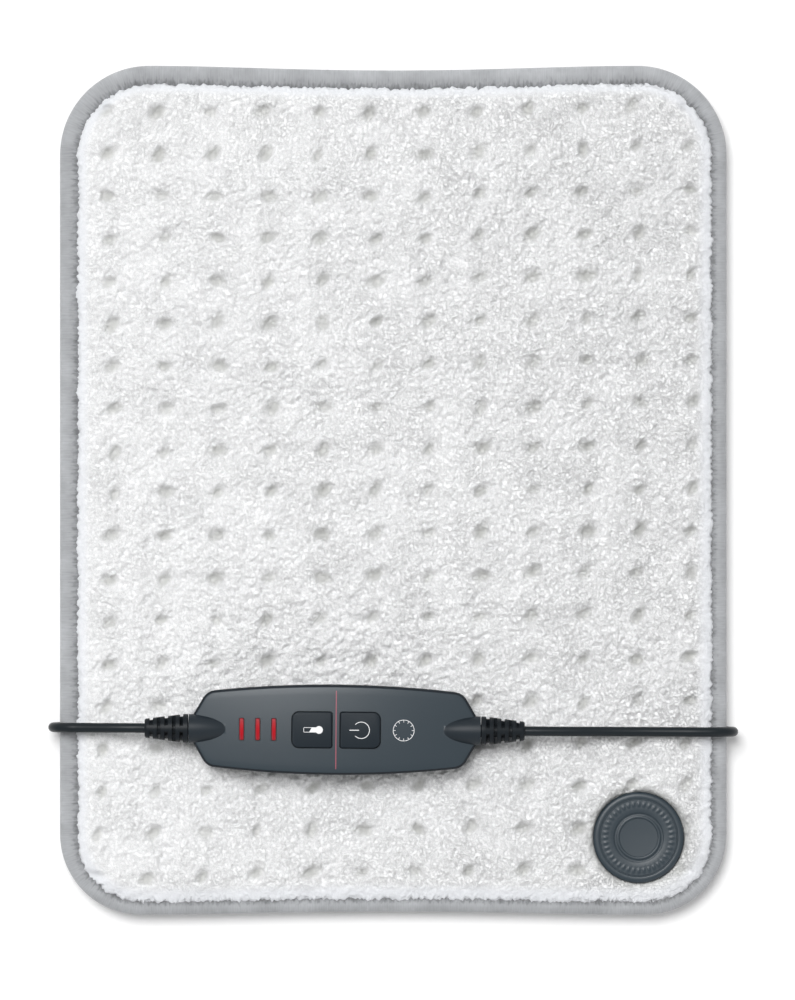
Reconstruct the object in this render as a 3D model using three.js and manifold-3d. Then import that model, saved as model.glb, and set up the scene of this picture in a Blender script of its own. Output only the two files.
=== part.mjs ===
// Electric heating pad with an in-line hand controller, in millimetres, +Z up.
// The pad lies flat on its back pile, the controller lies on the fleece, and both
// cords fold over the pad's edges and are put away underneath it.
import * as THREE from "three";
import { mergeVertices } from "three/addons/utils/BufferGeometryUtils.js";
import Module from "manifold-3d";

const wasm = await Module();
wasm.setup();

// General fits
const gap = 0.3;
const slidingFit = 0.4;

// Pad outline and layers
const padWidth = 314;
const padLength = 400;
const topCornerRadius = 42;
const bottomCornerRadius = 38;
const topDrawIn = 2.2;
const bottomDrawIn = 1.5;
const backThickness = 8;
const carrierThickness = 0.8;
const heaterDiameter = 1.6;
const heaterRoom = 0.6;
const fleeceThickness = 5.6;
const crownDrop = 1;

// Sewn spots that tuft the fleece
const spotPitchX = 25;
const spotPitchY = 20;
const spotMargin = 19;
const spotDepth = 4.5;

// Edge binding, a folded tape around the sewn-together edges
const bindingWidth = 7;
const bindingHeight = 7;
const bindingWall = 1.2;
const bindingBack = 1.6;
const bindingBottom = 6.2;
const flangeThickness = 1.3;
const shoulderInset = 9.5;

// Terminal button in the lower right corner
const terminalFromSide = 41.5;
const terminalFromEnd = 36.5;
const capRadius = 21.5;
const capThickness = 3.6;
const capSunk = 1.2;
const hubRadius = 14;
const baseRadius = 20;
const baseHeight = 6.2;
const terminalWall = 1.8;
const terminalReliefLength = 14;
const terminalReliefRadius = 3.2;
const inletAngle = 140;

// Cords
const cordDiameter = 4.6;
const coreDiameter = 1.6;

// Coil of the spare mains lead
const coilX = 10;
const coilY = 25;
const coilLevel = 3.1;
const coilRadius = 39;
const coilPitch = 5.2;
const turnsIn = 4.5;
const turnsOut = 4;
const climbTurns = 0.5;
const tieWidth = 6;
const tieThickness = 0.5;
const tieAngle = 45;

// Drape of the pad over the coil and the plug: how far it stays up, and then falls
const coilFlatX = 50;
const coilFallX = 77;
const coilFlatY = 55;
const coilFallY = 65;
const plugFlatX = 30;
const plugFallX = 80;
const plugFlatY = 52;
const plugFallY = 26;

// Heating wire
const heaterPitch = 40;
const heaterSideRoom = 12.5;
const heaterReturnRoom = 25;
const heaterBottomRoom = 50;
const heaterTopRoom = 30;
const heaterLeadX = 32;
const heaterLeadY = 18;

// Two-pin plug
const plugWidth = 35.3;
const plugHeight = 13.7;
const plugLength = 36;
const plugReliefLength = 20;
const plugReliefRadius = 4.6;
const plugStart = 64;
const pinDiameter = 4;
const pinLength = 19;
const pinSpacing = 18.6;

// Controller case
const caseLength = 132.4;
const caseWidth = 42.2;
const caseThickness = 19;
const caseArch = 6.5;
const caseWall = 2;
const caseCornerBack = 6.2;
const caseCornerY = 17.7;
const caseEndHalf = 7;
const caseCornerCut = 4;
const partingHeight = 8.5;
const controllerX = -27.5;
const controllerY = -112.4;
const controllerTurn = -0.47;

// Cord glands of the controller
const glandHeight = 10.8;
const glandRadius = 6.8;
const glandProud = 2.3;
const glandLength = 17.5;
const neckRadius = 3;
const anchorRadius = 4.2;
const anchorThickness = 1.9;
const neckDepth = 6.2;
const reliefLength = 20.4;
const reliefTipRadius = 4.6;
const slotCount = 5;
const slotFirst = 2.35;
const slotPitch = 3.55;
const slotWidth = 1.5;
const slotWeb = 3.2;

// Keys and their switches
const keyLength = 18.6;
const keyWidth = 16.6;
const keySpacing = 22.6;
const keyPairX = 0.7;
const keyOuterRadius = 3.2;
const keyInnerRadius = 1;
const keyProud = 1.1;
const keyFlange = 1.4;
const keyTravel = 0.6;
const switchSize = 6.2;
const switchHeight = 2.6;
const plungerDiameter = 3.4;

// Level windows and lamps
const windowCount = 3;
const windowEndRoom = 14;
const windowPitch = 7.55;
const windowWidth = 2.2;
const windowLength = 10.2;
const lampHeight = 1.5;

// Circuit board and its pieces
const boardEndRoom = 17.2;
const boardWidth = 29;
const boardThickness = 1.6;
const boardHeight = 9.2;
const postFromEnd = 9;
const postY = 11;
const postRadius = 1.8;

// Case screws
const screwFromEnd = 13.2;
const screwY = 11.5;
const screwShank = 1.2;
const screwHead = 2.5;
const screwHeadDepth = 0.6;
const screwHeadHeight = 1.8;
const screwLength = 11;
const bossRadius = 2.9;

// Finishes
function finish(color, roughness, metalness = 0) {
  return new THREE.MeshStandardMaterial({ color, roughness, metalness });
}
const whiteFleece = finish(0xf0f0ee, 0.95);
const greyTape = finish(0xaeb0b2, 0.85);
const feltSheet = finish(0xdedbd2, 0.9);
const heaterJacket = finish(0xd9b27c, 0.6);
const greyPlastic = finish(0x4d555c, 0.5);
const darkPlastic = finish(0x343b42, 0.45);
const blackRubber = finish(0x22272b, 0.55);
const redLens = finish(0xb01020, 0.3);
const greenBoard = finish(0x2e6b45, 0.5);
const blackChip = finish(0x1b1c1e, 0.45);
const yellowFilm = finish(0xd6b540, 0.5);
const blueDisc = finish(0x2d5f9e, 0.5);
const paleCeramic = finish(0xd8d2c4, 0.4);
const brownJacket = finish(0x6b4226, 0.5);
const blueJacket = finish(0x2a5ba8, 0.5);
const steel = finish(0xb9bcc0, 0.3, 1);
const brass = finish(0xc9a85c, 0.3, 1);

// Levels of the pad's layers, counted up from the table
const carrierLevel = backThickness + gap;
const heaterLevel = carrierLevel + carrierThickness + heaterRoom + heaterDiameter / 2;
const fleeceLevel = heaterLevel + heaterDiameter / 2 + heaterRoom;
const padTop = fleeceLevel + fleeceThickness;
const slotFloor = bindingBottom + bindingWall;
const slotRoof = bindingBottom + bindingHeight - bindingWall;
const flangeInset = bindingBack + gap;
const mouthInset = bindingWidth + slidingFit;
const controllerLevel = padTop + gap;

// Spots as many as fit between the margins
const spotColumns = Math.floor((padWidth - 2 * spotMargin) / spotPitchX) + 1;
const spotRows = Math.floor((padLength - 2 * spotMargin) / spotPitchY) + 1;
const fieldX = ((spotColumns - 1) / 2) * spotPitchX;
const fieldY = ((spotRows - 1) / 2) * spotPitchY;

// Places counted from the edges of the pad and the ends of the case
const terminalX = padWidth / 2 - terminalFromSide;
const terminalY = terminalFromEnd - padLength / 2;
const caseEnd = caseLength / 2;
const caseCornerX = caseEnd - caseCornerBack;
const glandEnd = caseEnd + glandProud;
const neckInside = caseEnd - neckDepth;
const boardEnd = caseEnd - boardEndRoom;
const postX = boardEnd - postFromEnd;
const screwX = caseEnd - screwFromEnd;

// Solids
function solidOf(geometry) {
  const bare = new THREE.BufferGeometry();
  bare.setAttribute("position", geometry.getAttribute("position"));
  bare.setIndex(geometry.getIndex());
  const { attributes, index } = mergeVertices(bare, 1e-4);
  const mesh = new wasm.Mesh({
    numProp: 3,
    vertProperties: Float32Array.from(attributes.position.array),
    triVerts: Uint32Array.from(index.array),
  });
  return new wasm.Manifold(mesh);
}

function geometryOf(solid) {
  const { vertProperties, triVerts } = solid.getMesh();
  const geometry = new THREE.BufferGeometry();
  geometry.setAttribute("position", new THREE.BufferAttribute(vertProperties, 3));
  geometry.setIndex(new THREE.BufferAttribute(triVerts, 1));
  geometry.computeVertexNormals();
  return geometry;
}

function facesToGeometry(points, faces) {
  const geometry = new THREE.BufferGeometry();
  geometry.setAttribute("position", new THREE.Float32BufferAttribute(points.flat(), 3));
  geometry.setIndex(faces.flat());
  geometry.computeVertexNormals();
  return geometry;
}

function united(first, ...others) {
  return others.reduce((sum, other) => sum.add(other), first);
}

function reduced(first, ...others) {
  return others.reduce((rest, other) => rest.subtract(other), first);
}

function slab(shape, low, high, curveSegments = 3) {
  const settings = { depth: high - low, bevelEnabled: false, curveSegments };
  return new THREE.ExtrudeGeometry(shape, settings).translate(0, 0, low);
}

function block(x, y, low, lengthX, lengthY, height) {
  return new THREE.BoxGeometry(lengthX, lengthY, height).translate(x, y, low + height / 2);
}

function rod(radius, low, high, sides = 16) {
  const body = new THREE.CylinderGeometry(radius, radius, high - low, sides);
  return body.rotateX(Math.PI / 2).translate(0, 0, (low + high) / 2);
}

function turned(profile, sides) {
  const outline = profile.map(([radius, height]) => new THREE.Vector2(radius, height));
  return new THREE.LatheGeometry(outline, sides).rotateX(Math.PI / 2);
}

function spun(profile, sides) {
  const outline = profile.map(([radius, along]) => new THREE.Vector2(radius, along));
  return new THREE.LatheGeometry(outline, sides).rotateZ(-Math.PI / 2);
}

function roundedRectangle(width, height, radius) {
  const x = width / 2;
  const y = height / 2;
  const shape = new THREE.Shape();
  shape.moveTo(-x + radius, -y);
  shape.absarc(x - radius, -y + radius, radius, -Math.PI / 2, 0);
  shape.absarc(x - radius, y - radius, radius, 0, Math.PI / 2);
  shape.absarc(-x + radius, y - radius, radius, Math.PI / 2, Math.PI);
  shape.absarc(-x + radius, -y + radius, radius, Math.PI, Math.PI * 1.5);
  return shape;
}

function sweptRod(curve, diameter, sides, steps) {
  const corners = Array.from({ length: sides }, (_, i) => {
    const angle = (2 * Math.PI * i) / sides;
    return new THREE.Vector2(Math.cos(angle), Math.sin(angle)).multiplyScalar(diameter / 2);
  });
  const settings = { steps, extrudePath: curve, bevelEnabled: false };
  return new THREE.ExtrudeGeometry(new THREE.Shape(corners), settings);
}

// A route takes its steps from one chosen point to the next, close ones in its bends.
function route(points) {
  const curve = new THREE.CatmullRomCurve3(points.map((point) => new THREE.Vector3(...point)));
  curve.getUtoTmapping = (share) => share;
  return curve;
}

const group = new THREE.Group();
group.name = "heating_pad";
const controller = new THREE.Group();
controller.name = "controller";
controller.position.set(controllerX, controllerY, controllerLevel);
controller.rotation.z = THREE.MathUtils.degToRad(controllerTurn);
group.add(controller);

function addPiece(parent, name, shape, material) {
  const mesh = new THREE.Mesh(shape.isBufferGeometry ? shape : geometryOf(shape), material);
  mesh.name = name;
  parent.add(mesh);
}

// Drape of the pad over the coil and the plug that lie underneath it
const plugX = coilX - coilRadius + (turnsIn - turnsOut) * coilPitch;
const plugAxis = plugHeight / 2 + 0.1;
const bodyStart = plugStart + plugReliefLength + gap;
const pinStart = bodyStart + plugLength + gap;
const plugMiddle = (plugStart + pinStart + pinLength) / 2;
const tieBottom = 0.1;
const coilTop = coilLevel + coilPitch + cordDiameter / 2;
const tieTop = coilTop + gap + tieThickness;
const backSkin = 1.2;
const drapeColumns = 7;
const drapeRows = 9;
const coilLift = tieTop + gap + backSkin - backThickness;
const plugLift = plugAxis + plugHeight / 2 + gap + backSkin - backThickness;

function bell(offset, flat, fall) {
  const way = THREE.MathUtils.clamp((Math.abs(offset) - flat) / fall, 0, 1);
  return 0.5 + 0.5 * Math.cos(Math.PI * way);
}

function hill(x, y) {
  const coilAcross = bell(x - coilX, coilFlatX, coilFallX);
  const coilAlong = bell(y - coilY, coilFlatY, coilFallY);
  const plugAcross = bell(x - plugX, plugFlatX, plugFallX);
  const plugAlong = bell(y - plugMiddle, plugFlatY, plugFallY);
  return Math.max(coilLift * coilAcross * coilAlong, plugLift * plugAcross * plugAlong);
}

function evenLine(half, cells) {
  return Array.from({ length: cells + 1 }, (_, i) => (2 * i / cells - 1) * half);
}

const drapeX = [-padWidth / 2, ...evenLine(fieldX, drapeColumns), padWidth / 2];
const drapeY = [-padLength / 2, ...evenLine(fieldY, drapeRows), padLength / 2];

function cellOf(line, value) {
  const found = line.findIndex((low, i) => i < line.length - 2 && value < line[i + 1]);
  const cell = found < 0 ? line.length - 2 : found;
  const share = (value - line[cell]) / (line[cell + 1] - line[cell]);
  return [line[cell], line[cell + 1], THREE.MathUtils.clamp(share, 0, 1)];
}

function drape(x, y) {
  const [left, right, shareX] = cellOf(drapeX, x);
  const [near, far, shareY] = cellOf(drapeY, y);
  const low = hill(left, near);
  const high = hill(right, far);
  const middle = shareX > shareY ? hill(right, near) : hill(left, far);
  const more = Math.max(shareX, shareY);
  const less = Math.min(shareX, shareY);
  return low + more * (middle - low) + less * (high - middle);
}

// The short sides of the sewn pad are drawn in between its corners.
function laidOut([x, y, z]) {
  const straight = padWidth / 2 - topCornerRadius;
  const bow = Math.max(0, 1 - (x / straight) ** 2) ** 2;
  const drawIn = y > 0 ? topDrawIn : bottomDrawIn;
  return [x, y * (1 - (drawIn * bow) / (padLength / 2)), z + drape(x, y)];
}

// Pad outline at a distance inside the edge, counter-clockwise from the right side
function padOutline(inset, cornerSteps = 5, sideSteps = 4) {
  const x = padWidth / 2 - inset;
  const y = padLength / 2 - inset;
  const corners = [
    [1, 1, topCornerRadius, 0],
    [-1, 1, topCornerRadius, 1],
    [-1, -1, bottomCornerRadius, 2],
    [1, -1, bottomCornerRadius, 3],
  ];
  const points = [];
  corners.forEach(([signX, signY, radius, quarter], corner) => {
    const bend = radius - inset;
    for (let step = 0; step <= cornerSteps; step += 1) {
      const angle = (quarter + step / cornerSteps) * (Math.PI / 2);
      const centreX = signX * (x - bend);
      const centreY = signY * (y - bend);
      points.push([centreX + bend * Math.cos(angle), centreY + bend * Math.sin(angle)]);
    }
    const [nextX, nextY, nextRadius] = corners[(corner + 1) % 4];
    const last = points.at(-1);
    const alongX = nextY === signY;
    const nextBend = nextRadius - inset;
    const next = alongX
      ? [nextX * (x - nextBend), signY * y]
      : [signX * x, nextY * (y - nextBend)];
    for (let step = 1; step < sideSteps; step += 1) {
      const share = step / sideSteps;
      points.push(last.map((value, axis) => THREE.MathUtils.lerp(value, next[axis], share)));
    }
  });
  return points;
}

function stripFaces(first, second, count) {
  const faces = [];
  for (let i = 0; i < count; i += 1) {
    const j = (i + 1) % count;
    faces.push([first + i, first + j, second + j], [first + i, second + j, second + i]);
  }
  return faces;
}

// One side of a sheet: rings that follow the edge, then a field over the sewn spots
function sheetSide({ rings, field, columns, rows }) {
  const outlines = rings.map(([inset, z]) => padOutline(inset).map(([x, y]) => [x, y, z]));
  const count = outlines[0].length;
  const points = outlines.flat();
  const faces = rings.slice(1).flatMap((_, i) => stripFaces(i * count, (i + 1) * count, count));
  const lineX = evenLine(fieldX, columns);
  const lineY = evenLine(fieldY, rows);
  const start = points.length;
  const at = (i, j) => start + j * (columns + 1) + i;
  lineY.forEach((y, j) => lineX.forEach((x, i) => points.push([x, y, field(i, j)])));
  for (let j = 0; j < rows; j += 1) {
    for (let i = 0; i < columns; i += 1) {
      faces.push([at(i, j), at(i + 1, j), at(i + 1, j + 1)]);
      faces.push([at(i, j), at(i + 1, j + 1), at(i, j + 1)]);
    }
  }
  const frame = [];
  for (let i = 0; i < columns; i += 1) frame.push(at(i, 0));
  for (let j = 0; j < rows; j += 1) frame.push(at(columns, j));
  for (let i = columns; i > 0; i -= 1) frame.push(at(i, rows));
  for (let j = rows; j > 0; j -= 1) frame.push(at(0, j));
  const inner = Array.from({ length: count }, (_, i) => start - count + i);
  const flat = (index) => new THREE.Vector2(points[index][0], points[index][1]);
  const border = [...inner, ...frame];
  const filling = THREE.ShapeUtils.triangulateShape(inner.map(flat), [frame.map(flat)]);
  filling.forEach((face) => {
    const [a, b, c] = face.map((index) => border[index]);
    const turn = flat(b).sub(flat(a)).cross(flat(c).sub(flat(a)));
    faces.push(turn > 0 ? [a, b, c] : [a, c, b]);
  });
  return { points, faces, count };
}

function sheet(lower, upper) {
  const below = sheetSide(lower);
  const above = sheetSide(upper);
  const shift = below.points.length;
  const wall = stripFaces(0, shift, below.count);
  const faces = [
    ...below.faces.map(([a, b, c]) => [a, c, b]),
    ...above.faces.map((face) => face.map((index) => index + shift)),
    ...wall,
  ];
  return facesToGeometry([...below.points, ...above.points].map(laidOut), faces);
}

function plainSide(level, ...edges) {
  const rings = edges.length ? edges : [[flangeInset, level]];
  return { rings, field: () => level, columns: drapeColumns, rows: drapeRows };
}

// The fleece is held down at every sewn spot and swells between them.
const tuftColumns = 2 * (spotColumns - 1);
const tuftRows = 2 * (spotRows - 1);

function tuftedField(i, j) {
  const spot = i % 2 === 0 && j % 2 === 0;
  const between = i % 2 === 1 && j % 2 === 1;
  const border = i === 0 || j === 0 || i === tuftColumns || j === tuftRows;
  const swell = between ? 0 : crownDrop * 0.5;
  return padTop - (spot ? spotDepth : swell) - (border && !spot ? crownDrop : 0);
}

const topFlange = slotRoof - gap;
const fleeceUpper = {
  rings: [
    [flangeInset, topFlange],
    [mouthInset, topFlange],
    [shoulderInset, padTop - 2.2 * crownDrop],
  ],
  field: tuftedField,
  columns: tuftColumns,
  rows: tuftRows,
};
const fleeceRim = topFlange - flangeThickness;
const fleeceLower = plainSide(
  fleeceLevel,
  [flangeInset, fleeceRim],
  [mouthInset, fleeceRim],
  [shoulderInset, fleeceLevel],
);
const backFlange = slotFloor + gap;
const backUpper = plainSide(backThickness);
const backLower = plainSide(
  0,
  [flangeInset, backFlange],
  [mouthInset, backFlange],
  [shoulderInset, crownDrop],
);

// Terminal: a hub clamps the layers between a base below and a cap above.
const capTop = padTop - capSunk;
const capBottom = capTop - capThickness;
const baseBottom = 0.2;
const baseTop = baseBottom + baseHeight;

function atTerminal(geometry) {
  return geometry.translate(terminalX, terminalY, 0);
}

const layerHole = solidOf(atTerminal(rod(hubRadius + slidingFit, -1, padTop + 5, 20)));
const capSeat = solidOf(atTerminal(rod(capRadius + 2 * slidingFit, capBottom - gap, padTop + 5, 20)));
const baseSeat = solidOf(atTerminal(rod(baseRadius + 2 * slidingFit, -1, baseTop + gap, 20)));

// Routes of the two cords
const inlet = THREE.MathUtils.degToRad(inletAngle);
const terminalCordLevel = 3.5;
const inletEnd = baseRadius + gap + terminalReliefLength + gap;

function inletPoint(distance, height) {
  const x = terminalX + distance * Math.cos(inlet);
  return [x, terminalY + distance * Math.sin(inlet), height];
}
const mainsRoute = [
  [-117.15, -111.66, 28.6],
  [-123, -111.6, 28.5],
  [-131, -111.6, 27],
  [-140, -111.6, 24.5],
  [-148, -111.6, 22.3],
  [-153.2, -111.6, 21],
  [-157.5, -111.6, 18.5],
  [-159.9, -111.6, 14.3],
  [-159.9, -111.6, 9.5],
  [-157.5, -111.6, 5.3],
  [-153.2, -111.6, 2.8],
  [-148, -111.6, 2.5],
  [-138, -111.6, 2.5],
  [-122, -111.4, 2.5],
  [-98, -108, 2.5],
  [-74, -97, 2.5],
  [-54, -79, 2.5],
  [-40, -56, 2.5],
  [-32, -31, 2.6],
  [-29.4, -8, 2.9],
  [-29, 8, 3.1],
  [-29, 24.6, 3.1],
];
const mainsTailRoute = [
  [plugX, 25.4, 8.3],
  [plugX, 33, 8.3],
  [plugX, 45, 7.8],
  [plugX, 56, 7.1],
  [plugX, plugStart - gap, plugAxis],
];
const padRoute = [
  [62.1, -113.13, 28.6],
  [70, -113.2, 28.4],
  [84, -113.3, 27],
  [100, -113.4, 24.4],
  [116, -113.5, 22.7],
  [132, -113.6, 22.2],
  [145, -113.7, 22.1],
  [153.2, -113.7, 21],
  [157.5, -113.7, 18.5],
  [159.9, -113.7, 14.3],
  [159.9, -113.7, 9.5],
  [157.5, -113.7, 5.3],
  [153.2, -113.7, 2.8],
  [148, -113.7, 2.5],
  [136, -112.6, 2.5],
  [120, -106, 2.5],
  [108, -92, 2.5],
  [102, -70, 2.5],
  [100, -40, 2.5],
  [100, 30, 2.5],
  [100, 96, 2.5],
  [98, 110, 2.5],
  [92.5, 118.5, 2.5],
  [85, 121.5, 2.5],
  [77.5, 118.5, 2.5],
  [72, 110, 2.5],
  [70, 96, 2.5],
  [70, 30, 2.5],
  [70, -40, 2.5],
  [70, -84, 2.5],
  [70.6, -104, 2.5],
  [72.8, -118, 2.5],
  [77.2, -129.4, 2.9],
  inletPoint(inletEnd + 6, 3.4),
  inletPoint(inletEnd, terminalCordLevel),
];
const mainsCurve = route(mainsRoute);
const mainsTailCurve = route(mainsTailRoute);
const padCurve = route(padRoute);
const mainsSteps = 2 * (mainsRoute.length - 1);
const padSteps = 2 * (padRoute.length - 1);

// Spare mains lead: winds inwards on the table, climbs a layer in the half turn
// where it reverses, and winds outwards on top at the same rate.
class CoilCurve extends THREE.Curve {
  constructor() {
    super();
    this.arcLengthDivisions = 2400;
  }

  getPoint(share, target = new THREE.Vector3()) {
    const turns = share * (turnsIn + climbTurns + turnsOut);
    const reverse = turnsIn + climbTurns / 2;
    const away = Math.abs(turns - reverse);
    const innermost = coilRadius - reverse * coilPitch;
    const rounded = Math.max(away, (away * away + climbTurns ** 2 / 4) / climbTurns);
    const radius = innermost + coilPitch * (away < climbTurns / 2 ? rounded : away);
    const way = THREE.MathUtils.smoothstep(turns, turnsIn, turnsIn + climbTurns);
    const angle = Math.PI - 2 * Math.PI * turns;
    const x = coilX + radius * Math.cos(angle);
    const y = coilY + radius * Math.sin(angle);
    return target.set(x, y, coilLevel + coilPitch * way);
  }
}
const coilCurve = new CoilCurve();
const coilLoops = turnsIn + climbTurns + turnsOut;

function leastSelfGap(curve, diameter) {
  const count = 1200;
  const points = curve.getSpacedPoints(count);
  const apart = Math.ceil((2 * diameter * count) / curve.getLength());
  let least = Infinity;
  for (let i = 0; i < count; i += 1) {
    for (let j = i + apart; j <= count; j += 1) {
      least = Math.min(least, points[i].distanceTo(points[j]));
    }
  }
  return least - diameter;
}
console.log("coil: least gap to itself", leastSelfGap(coilCurve, cordDiameter).toFixed(2), "mm");
console.log(
  "lengths in mm: mains lead",
  (mainsCurve.getLength() + coilCurve.getLength() + mainsTailCurve.getLength()).toFixed(0),
  "pad lead",
  padCurve.getLength().toFixed(0),
);

// Pad pieces
const grooveHalf = cordDiameter / 2 + 2 * slidingFit;
const leastTurn = 0.04;

// A groove pressed into the pile by a cord that lies on the table
function groove(curve, steps) {
  const lying = curve.getPoints(steps).filter(({ z }) => z < cordDiameter);
  const points = lying.filter((point, i) => {
    if (i === 0 || i === lying.length - 1) return true;
    const turn = point.clone().sub(lying[i - 1]).angleTo(lying[i + 1].clone().sub(point));
    return turn > leastTurn;
  });
  const sides = [1, -1].map((side) =>
    points.map((point, i) => {
      const before = points[Math.max(i - 1, 0)];
      const after = points[Math.min(i + 1, points.length - 1)];
      const along = new THREE.Vector2(after.x - before.x, after.y - before.y).normalize();
      const away = new THREE.Vector2(-along.y, along.x).multiplyScalar(side * grooveHalf);
      return new THREE.Vector2(point.x, point.y).add(away);
    }),
  );
  const outline = new THREE.Shape([...sides[0], ...sides[1].reverse()]);
  return solidOf(slab(outline, -1, cordDiameter + 3 * slidingFit));
}
const coilSeat = rod(coilRadius + cordDiameter / 2 + 2, -1, tieTop + gap, 20);
const plugSeatLength = pinStart + pinLength + gap - plugStart + 4;
const plugSeat = block(
  plugX,
  plugStart - 4 + plugSeatLength / 2,
  -1,
  plugWidth + 2 * slidingFit,
  plugSeatLength,
  plugAxis + plugHeight / 2 + gap + 1,
);
const tailSeatLength = plugStart - coilY;
const tailSeat = block(
  plugX,
  coilY + tailSeatLength / 2,
  -1,
  2 * grooveHalf,
  tailSeatLength,
  coilTop + gap + 1,
);
const backCover = reduced(
  solidOf(sheet(backLower, backUpper)),
  layerHole,
  baseSeat,
  solidOf(coilSeat.translate(coilX, coilY, 0)),
  solidOf(plugSeat),
  solidOf(tailSeat),
  groove(mainsCurve, mainsSteps),
  groove(padCurve, padSteps),
);
const reliefSeat = spun(
  [
    [0, hubRadius],
    [terminalReliefRadius + slidingFit, hubRadius],
    [terminalReliefRadius + slidingFit, inletEnd + 2],
    [0, inletEnd + 2],
  ],
  8,
);
reliefSeat.rotateZ(inlet).translate(0, 0, terminalCordLevel);
const backPiece = backCover.subtract(solidOf(atTerminal(reliefSeat)));
addPiece(group, "pad_back_cover", backPiece, whiteFleece);

const carrierLower = plainSide(carrierLevel);
const carrierUpper = plainSide(carrierLevel + carrierThickness);
const carrier = solidOf(sheet(carrierLower, carrierUpper)).subtract(layerHole);
addPiece(group, "heater_carrier_sheet", carrier, feltSheet);

const topCover = reduced(solidOf(sheet(fleeceLower, fleeceUpper)), layerHole, capSeat);
addPiece(group, "pad_top_cover", topCover, whiteFleece);

// Heating wire: a serpentine on the carrier that leaves the hub and returns to it
const heaterRoomY = 2 * fieldY - heaterBottomRoom - heaterTopRoom;
const heaterRuns = 2 * Math.floor((heaterRoomY / heaterPitch + 1) / 2);
const heaterFirst = heaterBottomRoom - fieldY;
const heaterReturn = fieldX - heaterSideRoom;
const heaterLeft = -heaterReturn;
const heaterRight = heaterReturn - heaterReturnRoom;

function heaterPath() {
  const bend = heaterPitch / 2;
  const path = [];
  const hubEdge = hubRadius + slidingFit + gap;
  path.push([terminalX - hubEdge * 0.94, terminalY + hubEdge * 0.34]);
  path.push([terminalX - heaterLeadX, terminalY + heaterLeadY]);
  for (let run = 0; run < heaterRuns; run += 1) {
    const y = heaterFirst + run * heaterPitch;
    const leftwards = run % 2 === 0;
    const from = leftwards ? heaterRight - bend : heaterLeft + bend;
    const to = leftwards ? heaterLeft + bend : heaterRight - bend;
    const first = run === 0 ? 1 : 0;
    for (let step = first; step <= 8; step += 1) {
      path.push([THREE.MathUtils.lerp(from, to, step / 8), y]);
    }
    if (run < heaterRuns - 1) {
      const side = leftwards ? -1 : 1;
      for (let step = 1; step < 4; step += 1) {
        const angle = (Math.PI * step) / 4;
        path.push([to + side * bend * Math.sin(angle), y + bend * (1 - Math.cos(angle))]);
      }
    }
  }
  const top = heaterFirst + (heaterRuns - 1) * heaterPitch;
  path.push([heaterReturn - bend * 0.3, top - bend * 0.3]);
  for (let step = 0; step <= 10; step += 1) {
    const y = THREE.MathUtils.lerp(top - 1.5 * bend, terminalY + 2.2 * hubEdge, step / 10);
    path.push([heaterReturn, y]);
  }
  path.push([terminalX + hubEdge * 0.34, terminalY + hubEdge * 0.94]);
  return path.map(([x, y]) => [x, y, heaterLevel + drape(x, y)]);
}
const heaterPoints = heaterPath();
const heaterSteps = heaterPoints.length - 1;
addPiece(
  group,
  "heating_wire",
  sweptRod(route(heaterPoints), heaterDiameter, 5, heaterSteps),
  heaterJacket,
);

// Binding: the folded tape's section, as insets from the edge and heights
const tapeBottom = bindingBottom;
const tapeTop = bindingBottom + bindingHeight;
const bindingSection = [
  [bindingWidth, tapeTop],
  [bindingWidth * 0.45, tapeTop],
  [bindingWidth * 0.12, tapeTop - bindingHeight * 0.2],
  [0, tapeTop - bindingHeight / 2],
  [bindingWidth * 0.12, tapeBottom + bindingHeight * 0.2],
  [bindingWidth * 0.45, tapeBottom],
  [bindingWidth, tapeBottom],
  [bindingWidth, slotFloor],
  [bindingBack, slotFloor],
  [bindingBack, slotRoof],
  [bindingWidth, slotRoof],
];

function bindingRing() {
  const rings = bindingSection.map(([inset, z]) => padOutline(inset).map(([x, y]) => [x, y, z]));
  const count = rings[0].length;
  const faces = rings.flatMap((_, i) => {
    const next = (i + 1) % rings.length;
    return stripFaces(next * count, i * count, count);
  });
  return facesToGeometry(rings.flat().map(laidOut), faces);
}
addPiece(group, "edge_binding", bindingRing(), greyTape);

// Terminal cap with its ring grooves and a hub down to the base
const capProfile = [
  [0, capTop - 0.5],
  [8.6, capTop - 0.5],
  [9.2, capTop],
  [10.2, capTop],
  [10.6, capTop - 0.5],
  [11.4, capTop - 0.5],
  [11.9, capTop],
  [capRadius - 3.2, capTop],
  [capRadius - 0.9, capTop - 0.8],
  [capRadius, capTop - 2.2],
  [capRadius, capBottom],
  [hubRadius, capBottom],
  [hubRadius, baseTop + gap],
  [hubRadius - terminalWall, baseTop + gap],
  [hubRadius - terminalWall, capTop - terminalWall - 0.5],
  [0, capTop - terminalWall - 0.5],
].reverse();
addPiece(group, "terminal_cap", atTerminal(turned(capProfile, 24)), greyPlastic);

const baseProfile = [
  [0, baseBottom],
  [baseRadius - 1.2, baseBottom],
  [baseRadius, baseBottom + 1.2],
  [baseRadius, baseTop],
  [hubRadius - terminalWall, baseTop],
  [hubRadius - terminalWall, baseBottom + terminalWall],
  [0, baseBottom + terminalWall],
];
const inletBore = spun(
  [
    [0, hubRadius - 4],
    [cordDiameter / 2 - 0.6, hubRadius - 4],
    [cordDiameter / 2 - 0.6, baseRadius + 2],
    [0, baseRadius + 2],
  ],
  10,
);
inletBore.rotateZ(inlet).translate(0, 0, terminalCordLevel);
const terminalBase = solidOf(turned(baseProfile, 24)).subtract(solidOf(inletBore));
addPiece(group, "terminal_base", atTerminal(geometryOf(terminalBase)), greyPlastic);

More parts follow.
